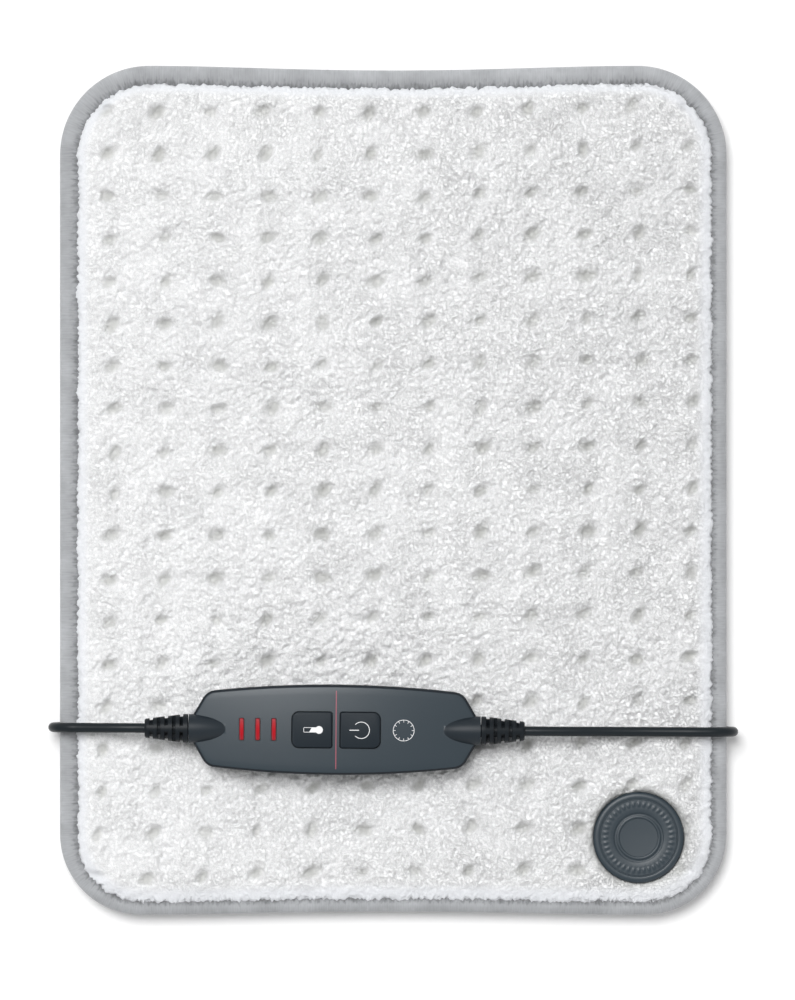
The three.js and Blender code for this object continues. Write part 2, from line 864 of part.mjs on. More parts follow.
const terminalRelief = spun(
  [
    [0, baseRadius + gap],
    [terminalReliefRadius, baseRadius + gap],
    [terminalReliefRadius, baseRadius + 3],
    [cordDiameter / 2 + 0.2, baseRadius + gap + terminalReliefLength],
    [0, baseRadius + gap + terminalReliefLength],
  ],
  12,
);
terminalRelief.rotateZ(inlet).translate(0, 0, terminalCordLevel);
addPiece(group, "terminal_strain_relief", atTerminal(terminalRelief), blackRubber);

// Inside the hub: a thermal fuse in the live core and two crimped splices
function capsule(radius, length, chamfer) {
  const half = length / 2;
  return spun(
    [
      [0, -half],
      [radius - chamfer, -half],
      [radius, -half + chamfer],
      [radius, half - chamfer],
      [radius - chamfer, half],
      [0, half],
    ],
    10,
  );
}
const hubFloor = baseBottom + terminalWall + gap;
const hubPieces = [
  ["thermal_fuse", 2.1, 11, 5, paleCeramic],
  ["splice_crimp_live", 1.6, 8, 0, brass],
  ["splice_crimp_return", 1.6, 8, -5, brass],
];
hubPieces.forEach(([name, radius, length, offset, material]) => {
  const piece = capsule(radius, length, 0.4).translate(0, offset, hubFloor + radius);
  addPiece(group, name, atTerminal(piece), material);
});

// Cords
function addCord(name, curve, sides, steps) {
  addPiece(group, name, sweptRod(curve, cordDiameter, sides, steps), blackRubber);
}
addCord("mains_lead_run", mainsCurve, 8, mainsSteps);
addCord("mains_lead_coil", coilCurve, 6, coilLoops * 24);
addCord("mains_lead_tail", mainsTailCurve, 8, mainsTailRoute.length - 1);
addCord("pad_lead", padCurve, 8, padSteps);

// Strap around the coil's bundle, through its middle
const bundleInner = coilRadius - turnsIn * coilPitch - coilPitch - cordDiameter / 2;
const bundleOuter = coilRadius + cordDiameter / 2;
const strapLow = tieBottom + tieThickness;
const strapHigh = coilTop + gap;
const strapOutline = new THREE.Shape([
  new THREE.Vector2(bundleInner - gap - tieThickness, tieBottom),
  new THREE.Vector2(bundleOuter + gap + tieThickness, tieBottom),
  new THREE.Vector2(bundleOuter + gap + tieThickness, tieTop),
  new THREE.Vector2(bundleInner - gap - tieThickness, tieTop),
]);
strapOutline.holes.push(
  new THREE.Path([
    new THREE.Vector2(bundleInner - gap, strapLow),
    new THREE.Vector2(bundleInner - gap, strapHigh),
    new THREE.Vector2(bundleOuter + gap, strapHigh),
    new THREE.Vector2(bundleOuter + gap, strapLow),
  ]),
);
const strap = slab(strapOutline, -tieWidth / 2, tieWidth / 2)
  .rotateX(Math.PI / 2)
  .rotateZ(THREE.MathUtils.degToRad(tieAngle))
  .translate(coilX, coilY, 0);
addPiece(group, "coil_tie", strap, blackRubber);

// Plug: a flattened body that widens towards the pins, with its moulded relief
function ovalRing(y, width, height, count = 20) {
  return Array.from({ length: count }, (_, i) => {
    const angle = (2 * Math.PI * i) / count;
    const across = Math.sign(Math.cos(angle)) * Math.abs(Math.cos(angle)) ** 0.6;
    const up = Math.sign(Math.sin(angle)) * Math.abs(Math.sin(angle)) ** 0.6;
    return [(across * width) / 2, y, (up * height) / 2];
  });
}

function lofted(rings) {
  const count = rings[0].length;
  const faces = rings.slice(1).flatMap((_, i) => stripFaces((i + 1) * count, i * count, count));
  const last = (rings.length - 1) * count;
  for (let i = 1; i < count - 1; i += 1) {
    faces.push([0, i, i + 1], [last, last + i + 1, last + i]);
  }
  return facesToGeometry(rings.flat(), faces);
}
const plugBody = lofted([
  ovalRing(0, 12, 10),
  ovalRing(1.5, 15, 11.5),
  ovalRing(plugLength * 0.35, plugWidth * 0.78, plugHeight * 0.95),
  ovalRing(plugLength * 0.62, plugWidth * 0.97, plugHeight),
  ovalRing(plugLength - 1, plugWidth, plugHeight),
  ovalRing(plugLength, plugWidth - 1.5, plugHeight - 1.5),
]);
addPiece(group, "plug_body", plugBody.translate(plugX, bodyStart, plugAxis), blackRubber);

function rodAlong(radius, low, high) {
  return spun(
    [
      [0, low],
      [radius, low],
      [radius, high],
      [0, high],
    ],
    12,
  );
}
const plugRelief = spun(
  [
    [0, 0],
    [cordDiameter / 2 + 0.5, 0],
    [plugReliefRadius, plugReliefLength - 3],
    [plugReliefRadius, plugReliefLength],
    [0, plugReliefLength],
  ],
  12,
);
plugRelief.rotateZ(Math.PI / 2).translate(plugX, plugStart, plugAxis);
addPiece(group, "plug_strain_relief", plugRelief, blackRubber);

[-1, 1].forEach((side) => {
  const half = pinDiameter / 2;
  const pin = spun(
    [
      [0, 0],
      [half, 0],
      [half, pinLength - 1.4],
      [half * 0.5, pinLength],
      [0, pinLength],
    ],
    14,
  );
  pin.rotateZ(Math.PI / 2).translate(plugX + (side * pinSpacing) / 2, pinStart, plugAxis);
  addPiece(group, side < 0 ? "plug_pin_left" : "plug_pin_right", pin, steel);
});

// Controller case: one outline, arched along its length
function faceHeight(x) {
  return caseThickness - caseArch * (x / caseEnd) ** 2;
}

function caseSide() {
  const end = new THREE.Vector2(caseEnd, caseEndHalf);
  const corner = new THREE.Vector2(caseCornerX, caseCornerY);
  const beside = new THREE.Vector2(caseCornerX - caseCornerCut, caseCornerY + 0.35);
  const slope = corner.clone().lerp(end, caseCornerCut / corner.distanceTo(end));
  const crest = new THREE.Vector2(0, caseWidth - beside.y);
  const mirrored = (point) => new THREE.Vector2(-point.x, point.y);
  return [
    end,
    ...new THREE.QuadraticBezierCurve(slope, corner, beside).getPoints(3),
    ...new THREE.QuadraticBezierCurve(beside, crest, mirrored(beside)).getPoints(8).slice(1, -1),
    ...new THREE.QuadraticBezierCurve(
      mirrored(beside),
      mirrored(corner),
      mirrored(slope),
    ).getPoints(3),
    mirrored(end),
  ];
}

function insetLoop(loop, inset) {
  return loop.map((point, i) => {
    const before = loop.at(i - 1);
    const after = loop[(i + 1) % loop.length];
    const first = point.clone().sub(before).normalize();
    const second = after.clone().sub(point).normalize();
    const inward = new THREE.Vector2(-first.y - second.y, first.x + second.x);
    return point.clone().addScaledVector(inward, inset / (1 + first.dot(second)));
  });
}

function caseSolid(levels) {
  const upper = caseSide();
  const lower = upper.map((point) => new THREE.Vector2(point.x, -point.y)).reverse();
  const loop = [...upper, ...lower];
  const count = loop.length;
  const rings = levels.map(([inset, height]) =>
    insetLoop(loop, inset).map((point) => [point.x, point.y, height(point.x)]),
  );
  const faces = rings.slice(1).flatMap((_, i) => stripFaces(i * count, (i + 1) * count, count));
  const top = (rings.length - 1) * count;
  for (let i = 0; i < upper.length - 1; i += 1) {
    const across = count - 1 - i;
    faces.push([top + i, top + i + 1, top + across - 1], [top + i, top + across - 1, top + across]);
    faces.push([i, across - 1, i + 1], [i, across, across - 1]);
  }
  return solidOf(facesToGeometry(rings.flat(), faces));
}

const level = (height) => () => height;
const caseBody = caseSolid([
  [1.6, level(0)],
  [0, level(1.6)],
  [0, (x) => faceHeight(x) - 2],
  [0.4, (x) => faceHeight(x) - 0.8],
  [1.4, (x) => faceHeight(x)],
]);
const caseCavity = caseSolid([
  [caseWall, level(caseWall)],
  [caseWall, (x) => faceHeight(x) - caseWall],
]);
// Glands: pointed bosses at both ends of the case that hold the strain reliefs
function bothEnds(geometry) {
  const raised = geometry.translate(0, 0, glandHeight);
  return [raised, raised.clone().rotateZ(Math.PI)].map(solidOf);
}
const glandProfile = Array.from({ length: 6 }, (_, i) => {
  const angle = (Math.PI / 2) * (i / 5);
  return [glandRadius * Math.sin(angle), glandEnd - glandLength * Math.cos(angle)];
});
const glands = bothEnds(spun([...glandProfile, [0, glandEnd]], 14));
const anchorLow = neckInside + 2;
const bores = [
  ...bothEnds(rodAlong(neckRadius + gap, neckInside - 3, glandEnd + 1)),
  ...bothEnds(rodAlong(anchorRadius + gap, anchorLow - gap, anchorLow + anchorThickness + gap)),
];
const housing = reduced(united(caseBody, ...glands), caseCavity, ...bores);

// Keys: flat caps with a flange under the face, each over its own switch
function keyOutline(side, margin) {
  const x = keyLength / 2 + margin;
  const y = keyWidth / 2 + margin;
  const outer = keyOuterRadius + margin;
  const inner = keyInnerRadius + margin;
  const shape = new THREE.Shape();
  shape.moveTo(0, -y);
  shape.absarc(x - outer, -y + outer, outer, -Math.PI / 2, 0);
  shape.absarc(x - outer, y - outer, outer, 0, Math.PI / 2);
  shape.absarc(-x + inner, y - inner, inner, Math.PI / 2, Math.PI);
  shape.absarc(-x + inner, -y + inner, inner, Math.PI, Math.PI * 1.5);
  const turn = side < 0 ? Math.PI : 0;
  return { shape, turn, x: keyPairX + (side * keySpacing) / 2 };
}

function keySlab(side, margin, low, high) {
  const { shape, turn, x } = keyOutline(side, margin);
  return slab(shape, low, high).rotateZ(turn).translate(x, 0, 0);
}
const keys = [
  [-1, "temperature"],
  [1, "power"],
];
const keyOpenings = keys.map(([side]) =>
  solidOf(keySlab(side, slidingFit, partingHeight, caseThickness + 5)),
);

// Level windows: upright bars let into the face, midway between the keys and the end
const keyEdge = keySpacing / 2 + keyLength / 2 - keyPairX;
const windowMiddle = -(keyEdge + caseEnd - windowEndRoom) / 2;
const windows = Array.from(
  { length: windowCount },
  (_, i) => windowMiddle + (i - (windowCount - 1) / 2) * windowPitch,
);

function windowBar(x, margin, low, high) {
  const width = windowWidth + 2 * margin;
  const shape = roundedRectangle(width, windowLength + 2 * margin, width * 0.45);
  return slab(shape, low, high).translate(x, 0, 0);
}
const windowOpenings = windows.map((x) =>
  solidOf(windowBar(x, gap, partingHeight, caseThickness + 5)),
);

// Screws hold the two shells from below.
const screwPlaces = [-1, 1].flatMap((x) => [-1, 1].map((y) => [x * screwX, y * screwY]));
const screwTop = screwHeadDepth + screwHeadHeight + screwLength - 2;

function atScrews(geometry) {
  return screwPlaces.map(([x, y]) => solidOf(geometry.clone().translate(x, y, 0)));
}
const upperBosses = atScrews(rod(bossRadius, partingHeight + gap, faceHeight(screwX) - 1, 8));
const pillars = atScrews(rod(bossRadius, caseWall - 0.5, partingHeight, 8));
const screwHoles = atScrews(rod(screwShank + slidingFit, -1, screwTop + gap, 8));
const headSeats = atScrews(rod(screwHead + slidingFit, -1, screwHeadDepth + screwHeadHeight + gap, 10));
const posts = [-1, 1].flatMap((x) =>
  [-1, 1].map((y) => {
    const post = rod(postRadius, caseWall - 0.5, boardHeight - gap, 8);
    return solidOf(post.translate(x * postX, y * postY, 0));
  }),
);

const wide = 2 * caseLength;
const upperHalf = solidOf(block(0, 0, partingHeight + gap, wide, wide, wide));
const lowerHalf = solidOf(block(0, 0, partingHeight - wide, wide, wide, wide));
const topShell = reduced(
  united(housing.intersect(upperHalf), ...upperBosses),
  ...keyOpenings,
  ...windowOpenings,
  ...screwHoles,
);
addPiece(controller, "controller_top_shell", topShell, greyPlastic);

const lowerBody = united(housing.intersect(lowerHalf), ...pillars, ...posts);
const bottomShell = reduced(lowerBody, ...screwHoles, ...headSeats, ...bores);
addPiece(controller, "controller_bottom_shell", bottomShell, greyPlastic);

const screwProfile = [
  [0, screwHeadDepth],
  [screwHead, screwHeadDepth],
  [screwHead, screwHeadDepth + screwHeadHeight],
  [screwShank, screwHeadDepth + screwHeadHeight],
  [screwShank, screwTop - 1],
  [0, screwTop],
];
screwPlaces.forEach(([x, y], i) => {
  const screw = turned(screwProfile, 8).translate(x, y, 0);
  addPiece(controller, `case_screw_${i + 1}`, screw, steel);
});

// Strain reliefs: ribbed cones, slotted alternately from above and from the sides
function slottedRelief(start) {
  const tip = start + reliefLength;
  const cone = solidOf(
    spun(
      [
        [0, start],
        [glandRadius, start],
        [glandRadius, start + 1.4],
        [reliefTipRadius, tip - 0.8],
        [reliefTipRadius - 0.7, tip],
        [0, tip],
      ],
      12,
    ),
  );
  const rim = 2 * glandRadius;
  const slots = Array.from({ length: slotCount }, (_, i) => {
    const low = start + slotFirst + i * slotPitch;
    const high = low + slotWidth;
    const disc = solidOf(rodAlong(rim, low, high));
    const core = solidOf(rodAlong(cordDiameter / 2 + 0.7, low - 1, high + 1));
    const upright = i % 2 === 0;
    const web = block(0, 0, 0, 4 * slotWidth, upright ? slotWeb : 3 * rim, upright ? 3 * rim : slotWeb);
    web.center().translate((low + high) / 2, 0, 0);
    return reduced(disc, core, solidOf(web));
  });
  return reduced(cone, ...slots);
}

const reliefStart = glandEnd + gap;
const reliefAnchor = united(
  solidOf(rodAlong(neckRadius, neckInside, reliefStart + 0.5)),
  solidOf(rodAlong(anchorRadius, anchorLow, anchorLow + anchorThickness)),
);
const reliefShape = geometryOf(slottedRelief(reliefStart).add(reliefAnchor));
reliefShape.translate(0, 0, glandHeight);
addPiece(controller, "pad_lead_strain_relief", reliefShape, blackRubber);
const mainsRelief = reliefShape.clone().rotateZ(Math.PI);
addPiece(controller, "mains_lead_strain_relief", mainsRelief, blackRubber);

// Circuit board with the switches, the lamps and the power pieces
const boardTop = boardHeight + boardThickness;
const boardUnder = boardHeight - gap;
const seat = boardTop + gap;
const board = block(0, 0, boardHeight, 2 * boardEnd, boardWidth, boardThickness);
addPiece(controller, "circuit_board", board, greenBoard);

const switchTop = seat + switchHeight;
const plungerLow = seat + 1.4;
const plungerTop = switchTop + keyTravel + gap;
const keyLow = plungerTop + gap;
const keyTop = caseThickness + keyProud;
const edgeOfKeys = Math.abs(keyPairX) + keySpacing / 2 + keyLength / 2 + keyFlange;
const flangeTop = faceHeight(edgeOfKeys) - caseWall - gap;
keys.forEach(([side, name]) => {
  const x = keyPairX + (side * keySpacing) / 2;
  const cap = solidOf(keySlab(side, 0, keyLow, keyTop));
  const flange = solidOf(keySlab(side, keyFlange, keyLow, flangeTop));
  addPiece(controller, `${name}_key`, cap.add(flange), darkPlastic);
  const plunger = rod(plungerDiameter / 2, plungerLow, plungerTop, 14).translate(x, 0, 0);
  addPiece(controller, `${name}_switch_plunger`, plunger, paleCeramic);
  const well = rod(plungerDiameter / 2 + gap, plungerLow - keyTravel - gap, switchTop + 1, 14);
  const body = solidOf(block(x, 0, seat, switchSize, switchSize, switchHeight));
  addPiece(controller, `${name}_switch_body`, body.subtract(solidOf(well.translate(x, 0, 0))), blackChip);
});

windows.forEach((x, i) => {
  const low = seat + lampHeight + gap;
  const bar = windowBar(x, 0, low, faceHeight(x) + 0.2);
  addPiece(controller, `level_window_${i + 1}`, bar, redLens);
  addPiece(controller, `level_lamp_${i + 1}`, block(x, 0, seat, 1.6, 3.2, lampHeight), paleCeramic);
});

// Pieces on the board: name, place, size and side of the board
const boardPieces = [
  ["microcontroller", boardEnd - 15, 0, 5, 6, 1.6, 1, blackChip],
  ["triac", boardEnd - 13, 0, 10, 15, 4.4, -1, blackChip],
  ["film_capacitor", 16, 0, 13, 7, 5.6, -1, yellowFilm],
  ["supply_capacitor", 2, 0, 7, 7, 5.4, -1, blackChip],
  ["dropper_resistor", -11, 0, 3, 10, 3, -1, paleCeramic],
];
boardPieces.forEach(([name, x, y, lengthX, lengthY, height, side, material]) => {
  const low = side > 0 ? seat : boardUnder - height;
  addPiece(controller, name, block(x, y, low, lengthX, lengthY, height), material);
});
const fuse = capsule(2.2, 10, 0.5).rotateZ(Math.PI / 2).translate(-20, 0, boardUnder - 2.2);
addPiece(controller, "mains_fuse", fuse, paleCeramic);
const varistor = rod(4, boardUnder - 4, boardUnder, 16).translate(-30, 0, 0);
addPiece(controller, "varistor", varistor, blueDisc);

// Cores from the strain reliefs to the ends of the board
const coreStart = neckInside - gap;
const coreEnd = boardEnd - 2.5;
const coreLevel = seat + coreDiameter / 2;
const cores = [
  ["mains_core_live", -1, 1.3, brownJacket],
  ["mains_core_neutral", -1, -1.3, blueJacket],
  ["heater_core_live", 1, 1.3, brownJacket],
  ["heater_core_return", 1, -1.3, blueJacket],
];
cores.forEach(([name, side, y, material]) => {
  const curve = route([
    [side * coreStart, y, glandHeight],
    [side * (coreStart - 3), y, glandHeight],
    [side * (coreStart - 8), y * 2, (glandHeight + coreLevel) / 2 + 0.6],
    [side * (coreEnd + 2), y * 3, coreLevel],
    [side * coreEnd, y * 3, coreLevel],
  ]);
  addPiece(controller, name, sweptRod(curve, coreDiameter, 5, 6), material);
});

export default group;
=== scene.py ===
import bpy
import numpy as np
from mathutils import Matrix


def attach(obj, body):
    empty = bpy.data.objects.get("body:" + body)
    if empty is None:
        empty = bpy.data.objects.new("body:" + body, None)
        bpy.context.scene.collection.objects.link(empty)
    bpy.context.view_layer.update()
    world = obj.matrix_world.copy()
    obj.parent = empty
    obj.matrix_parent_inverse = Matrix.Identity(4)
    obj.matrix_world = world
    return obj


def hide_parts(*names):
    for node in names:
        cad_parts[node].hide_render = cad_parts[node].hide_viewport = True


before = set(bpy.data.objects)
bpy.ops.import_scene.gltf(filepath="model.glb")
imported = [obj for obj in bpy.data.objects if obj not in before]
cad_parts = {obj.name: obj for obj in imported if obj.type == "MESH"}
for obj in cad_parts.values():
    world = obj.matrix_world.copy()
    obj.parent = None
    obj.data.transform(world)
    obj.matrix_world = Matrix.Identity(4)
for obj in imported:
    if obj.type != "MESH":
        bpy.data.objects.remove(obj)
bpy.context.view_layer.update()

# Table, lamps and camera: the pad lies face up on a white table. A broad soft lamp beyond its
# upper left corner gives the light a side, a weak low one across from it and a pale surround fill
# the shade, and the camera looks straight down from far above.
scene = bpy.context.scene
scene.view_settings.view_transform = "Standard"
view_centre = (0.0020, -0.0046)
view_height = 0.4712
edge_level = 0.0097
camera_distance = 5.0
lens = bpy.data.cameras.new("camera")
lens.sensor_fit = "VERTICAL"
lens.sensor_height = 36
lens.lens = lens.sensor_height * camera_distance / view_height
camera = bpy.data.objects.new("camera", lens)
camera.location = (*view_centre, edge_level + camera_distance)
scene.collection.objects.link(camera)
scene.camera = camera

lamps = [("lamp", (-0.19, 0.34, 0.92), 32, 2.62), ("low_lamp", (0.50, -0.72, 0.30), 70, 0.40)]
for name, place, width, energy in lamps:
    lamp_light = bpy.data.lights.new(name, "SUN")
    lamp_light.angle = np.radians(width)
    lamp_light.energy = energy
    lamp = bpy.data.objects.new(name, lamp_light)
    lamp.location = place
    lamp.rotation_euler = (-lamp.location).to_track_quat("-Z", "Y").to_euler()
    scene.collection.objects.link(lamp)


def fill(tree, node, inputs):
    """Each named socket of a node is set to a value, or fed by another socket."""
    for socket, value in dict(inputs).items():
        if isinstance(value, bpy.types.NodeSocket):
            tree.links.new(value, node.inputs[socket])
        else:
            node.inputs[socket].default_value = value


def add_node(tree, kind, inputs=(), **settings):
    """One shader node with its settings made and its sockets filled."""
    made = tree.nodes.new(kind)
    for key, value in settings.items():
        setattr(made, key, value)
    fill(tree, made, inputs)
    return made


def calc(tree, operation, *values):
    """Result of one step of arithmetic on sockets or numbers."""
    return add_node(tree, "ShaderNodeMath", enumerate(values), operation=operation).outputs[0]


def remap(tree, value, low, high, start=0.0, end=1.0):
    """A value carried from the range of start and end to that of low and high, and held there."""
    return add_node(tree, "ShaderNodeMapRange", {"Value": value, "From Min": start, "From Max": end,
                                                 "To Min": low, "To Max": high}).outputs[0]


def seen_directly(tree):
    """1 for rays from the camera, a gloss or a clear piece, and 0 for rays that carry light."""
    path = add_node(tree, "ShaderNodeLightPath").outputs
    shine = calc(tree, "MAXIMUM", path["Is Glossy Ray"], path["Is Transmission Ray"])
    return calc(tree, "MAXIMUM", path["Is Camera Ray"], shine)


white = (1, 1, 1, 1)
surround_strength = 0.31
surround = bpy.data.worlds.new("surround")
surround.use_nodes = True
scene.world = surround
sky = surround.node_tree
sky.nodes.clear()
strength = remap(sky, seen_directly(sky), surround_strength, 1.0)
glow = add_node(sky, "ShaderNodeBackground", {"Color": white, "Strength": strength})
add_node(sky, "ShaderNodeOutputWorld", {"Surface": glow.outputs[0]})

table_reach = 3.0
table_level = -0.0002
table_lift = 0.10
table_signs = [(-1, -1), (1, -1), (1, 1), (-1, 1)]
table_corners = [(x * table_reach, y * table_reach, table_level) for x, y in table_signs]
table_mesh = bpy.data.meshes.new("table")
table_mesh.from_pydata(table_corners, [], [(0, 1, 2, 3)])
table = bpy.data.objects.new("table", table_mesh)
scene.collection.objects.link(table)
table_finish = bpy.data.materials.new("white_table")
table_finish.use_nodes = True
table_tree = table_finish.node_tree
table_tree.nodes.clear()
paint = add_node(table_tree, "ShaderNodeBsdfDiffuse", {"Color": (0.9, 0.9, 0.9, 1)})
lift = calc(table_tree, "MULTIPLY", seen_directly(table_tree), table_lift)
shine = add_node(table_tree, "ShaderNodeEmission", {"Color": white, "Strength": lift})
both = add_node(table_tree, "ShaderNodeAddShader", {0: paint.outputs[0], 1: shine.outputs[0]})
add_node(table_tree, "ShaderNodeOutputMaterial", {"Surface": both.outputs[0]})
table_mesh.materials.append(table_finish)

# Plug: a flat moulded body of black rubber that widens towards two round steel pins, and a
# tapered relief with ring grooves where the lead goes in. It is moulded onto the lead.
plug_x = -0.0264
plug_axis = 0.00695
plug_start = 0.064
plug_body_start = 0.0843
plug_rings = [(0, 0.0112, 0.0092), (0.0008, 0.0132, 0.0106), (0.0022, 0.0158, 0.0117),
              (0.0070, 0.0212, 0.0125), (0.0126, 0.0275, 0.0130), (0.0223, 0.0342, 0.0137),
              (0.0300, 0.0351, 0.0137), (0.0348, 0.0353, 0.0137), (0.0356, 0.0349, 0.0133),
              (0.0360, 0.0338, 0.0122)]
plug_squareness = 0.6
plug_relief_stations = [0, 0.0006, 0.017, 0.020]
plug_relief_radii = [0.0026, 0.0030, 0.0045, 0.0046]
groove_first, groove_pitch, groove_depth = 0.0045, 0.0036, 0.0008
groove_zone = (0.0035, 0.0165)


def smooth_route(points, steps=10):
    """Curve through chosen points: a cubic from each to the next, with slopes by the centripetal
    Catmull-Rom rule and the end points mirrored outwards."""
    p = np.array(points)
    p = np.vstack([2 * p[0] - p[1], p, 2 * p[-1] - p[-2]])
    root = np.linalg.norm(np.diff(p, axis=0), axis=1)[:, None] ** 0.5
    before, here, after = root[:-2], root[1:-1], root[2:]
    a, b, c, d = p[:-3], p[1:-2], p[2:-1], p[3:]
    leave = ((b - a) / before - (c - a) / (before + here) + (c - b) / here) * here
    arrive = ((c - b) / here - (d - b) / (here + after) + (d - c) / after) * here
    t = np.linspace(0, 1, steps, endpoint=False)[None, :, None]
    b, c, leave, arrive = b[:, None], c[:, None], leave[:, None], arrive[:, None]
    curve = ((2 * t**3 - 3 * t**2 + 1) * b + (t**3 - 2 * t**2 + t) * leave
             + (3 * t**2 - 2 * t**3) * c + (t**3 - t**2) * arrive)
    return np.vstack([curve.reshape(-1, 3), p[-2]])


def quads_of(index):
    """Quads between the neighbours in a table of point numbers, counter-clockwise."""
    return np.stack([index[:-1, :-1], index[:-1, 1:], index[1:, 1:], index[1:, :-1]], axis=-1).reshape(-1, 4)


def grid_faces(rows, columns, wrap=False, wrap_rows=False):
    """Quads of a grid of points, counter-clockwise, closed across the columns or rows if asked."""
    index = np.arange(rows * columns).reshape(rows, columns)
    if wrap:
        index = np.hstack([index, index[:, :1]])
    if wrap_rows:
        index = np.vstack([index, index[:1]])
    return quads_of(index)


def loft(rings):
    """Closed body through rings of points: quads from each ring to the next and a face on each end."""
    count, around = rings.shape[:2]
    ends = np.arange(around)[None, ::-1], (count - 1) * around + np.arange(around)[None, :]
    return rings.reshape(-1, 3), [grid_faces(count, around, wrap=True), *ends]


def ring_body(x, y, z):
    """Closed body through rings, one for each row of the three arrays."""
    return loft(np.stack(np.broadcast_arrays(x, y, z), axis=-1))


def round_angles(count):
    """Even angles once round a circle."""
    return 2 * np.pi * np.arange(count) / count


def bare_mesh(name, points, faces, uv=None, sharp=35):
    """Mesh object at the origin from points and from arrays of faces, one array for each number
    of corners. Faces of a body with a negative volume are turned round."""
    volume = sum(np.einsum("ij,ij->", points[f[:, 0]], np.cross(points[f[:, i]], points[f[:, i + 1]]))
                 for f in faces for i in range(1, f.shape[1] - 1))
    if volume < 0:
        faces = [f[:, ::-1] for f in faces]
        uv = uv and [u[:, ::-1] for u in uv]
    sizes = np.concatenate([np.full(len(f), f.shape[1]) for f in faces])
    corners = np.concatenate([f.ravel() for f in faces])
    mesh = bpy.data.meshes.new(name)
    mesh.vertices.add(len(points))
    mesh.vertices.foreach_set("co", points.astype(np.float32).ravel())
    mesh.loops.add(len(corners))
    mesh.loops.foreach_set("vertex_index", corners.astype(np.int32))
    mesh.polygons.add(len(sizes))
    starts = np.concatenate([[0], np.cumsum(sizes)[:-1]])
    mesh.polygons.foreach_set("loop_start", starts.astype(np.int32))
    mesh.update(calc_edges=True)
    if uv:
        layer = mesh.uv_layers.new(name="along")
        values = np.concatenate([u.reshape(-1, 2) for u in uv])
        layer.data.foreach_set("uv", values.astype(np.float32).ravel())
    mesh.shade_smooth()
    mesh.set_sharp_from_angle(angle=np.radians(sharp))
    piece = bpy.data.objects.new(name, mesh)
    scene.collection.objects.link(piece)
    return piece


def dressed(piece, finish, body="pad"):
    """The piece with its finish, on the body it moves with."""
    piece.data.materials.append(finish)
    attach(piece, body)
    return piece


def bare_finish(name):
    """A new material: it, its nodes, its shader and the place in the piece's own coordinates."""
    made = bpy.data.materials.new(name)
    made.use_nodes = True
    tree = made.node_tree
    place = add_node(tree, "ShaderNodeTexCoord").outputs["Object"]
    return made, tree, tree.nodes["Principled BSDF"], place


def noise(tree, place, scale, detail=2.0, distortion=0.0):
    """Soft noise from 0 to 1 at a place."""
    return add_node(tree, "ShaderNodeTexNoise", {"Vector": place, "Scale": scale, "Detail": detail,
                                                 "Distortion": distortion}).outputs[0]


def tinted(tree, colour, tone):
    """A colour made lighter or darker by a factor."""
    return add_node(tree, "ShaderNodeVectorMath", {0: colour, "Scale": tone}, operation="SCALE").outputs[0]


def bumped(tree, height, distance, strength=1.0):
    """Normal of a surface that is raised by a height from 0 to 1 times a distance."""
    return add_node(tree, "ShaderNodeBump", {"Height": height, "Distance": distance,
                                             "Strength": strength}).outputs[0]


def moulded_finish(name, colour, roughness, shine=0.5, grain=0.0004, depth=0.00002, spread=0.12):
    """Plain moulded plastic or rubber: one colour with a faint cloudiness, a fine moulded grain
    as bump, and a gloss that varies a little from place to place."""
    made, tree, shader, place = bare_finish(name)
    cloud, speck = noise(tree, place, 60.0, 3.0), noise(tree, place, 1 / grain)
    fill(tree, shader, {"Base Color": tinted(tree, colour, remap(tree, cloud, 1 - spread, 1 + spread)),
                        "Roughness": remap(tree, speck, roughness - 0.06, roughness + 0.06),
                        "Normal": bumped(tree, speck, depth),
                        "Specular IOR Level": shine})
    return made


def metal_finish(name, colour, roughness):
    """Bright drawn metal: an even colour with a fine mottle in its gloss."""
    made = moulded_finish(name, colour, roughness, grain=0.0006, depth=0.000004, spread=0.06)
    made.node_tree.nodes["Principled BSDF"].inputs["Metallic"].default_value = 1.0
    return made


def plug_body(around=48):
    """Ovals carried along the lead: width and height follow a smooth curve through chosen stations,
    and each oval is a superellipse, squarer than an ellipse."""
    y, width, height = smooth_route(plug_rings, steps=4).T[:, :, None]
    angle = round_angles(around)
    across = np.sign(np.cos(angle)) * np.abs(np.cos(angle)) ** plug_squareness
    up = np.sign(np.sin(angle)) * np.abs(np.sin(angle)) ** plug_squareness
    return ring_body(plug_x + across * width / 2, plug_body_start + y, plug_axis + up * height / 2)


def plug_relief(around=32):
    """Rings turned about the lead: a cone from just over the lead's width to a collar, with ring
    grooves that follow a squared cosine."""
    s = np.linspace(0, plug_relief_stations[-1], 121)
    wave = np.clip(np.cos(2 * np.pi * (s - groove_first) / groove_pitch), 0, None) ** 2
    groove = wave * ((s > groove_zone[0]) & (s < groove_zone[1]))
    radius = (np.interp(s, plug_relief_stations, plug_relief_radii) - groove_depth * groove)[:, None]
    angle = round_angles(around)
    return ring_body(plug_x + radius * np.cos(angle), (plug_start + s)[:, None],
                     plug_axis + radius * np.sin(angle))


rubber = moulded_finish("black_rubber", (0.008, 0.011, 0.014), 0.38, shine=0.12, grain=0.0005)
steel = metal_finish("bright_steel", (0.48, 0.50, 0.52), 0.28)
plug = dressed(bare_mesh("plug", *plug_body()), rubber)
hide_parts("plug_body")
plug_boot = dressed(bare_mesh("plug_relief", *plug_relief()), rubber)
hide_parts("plug_strain_relief")

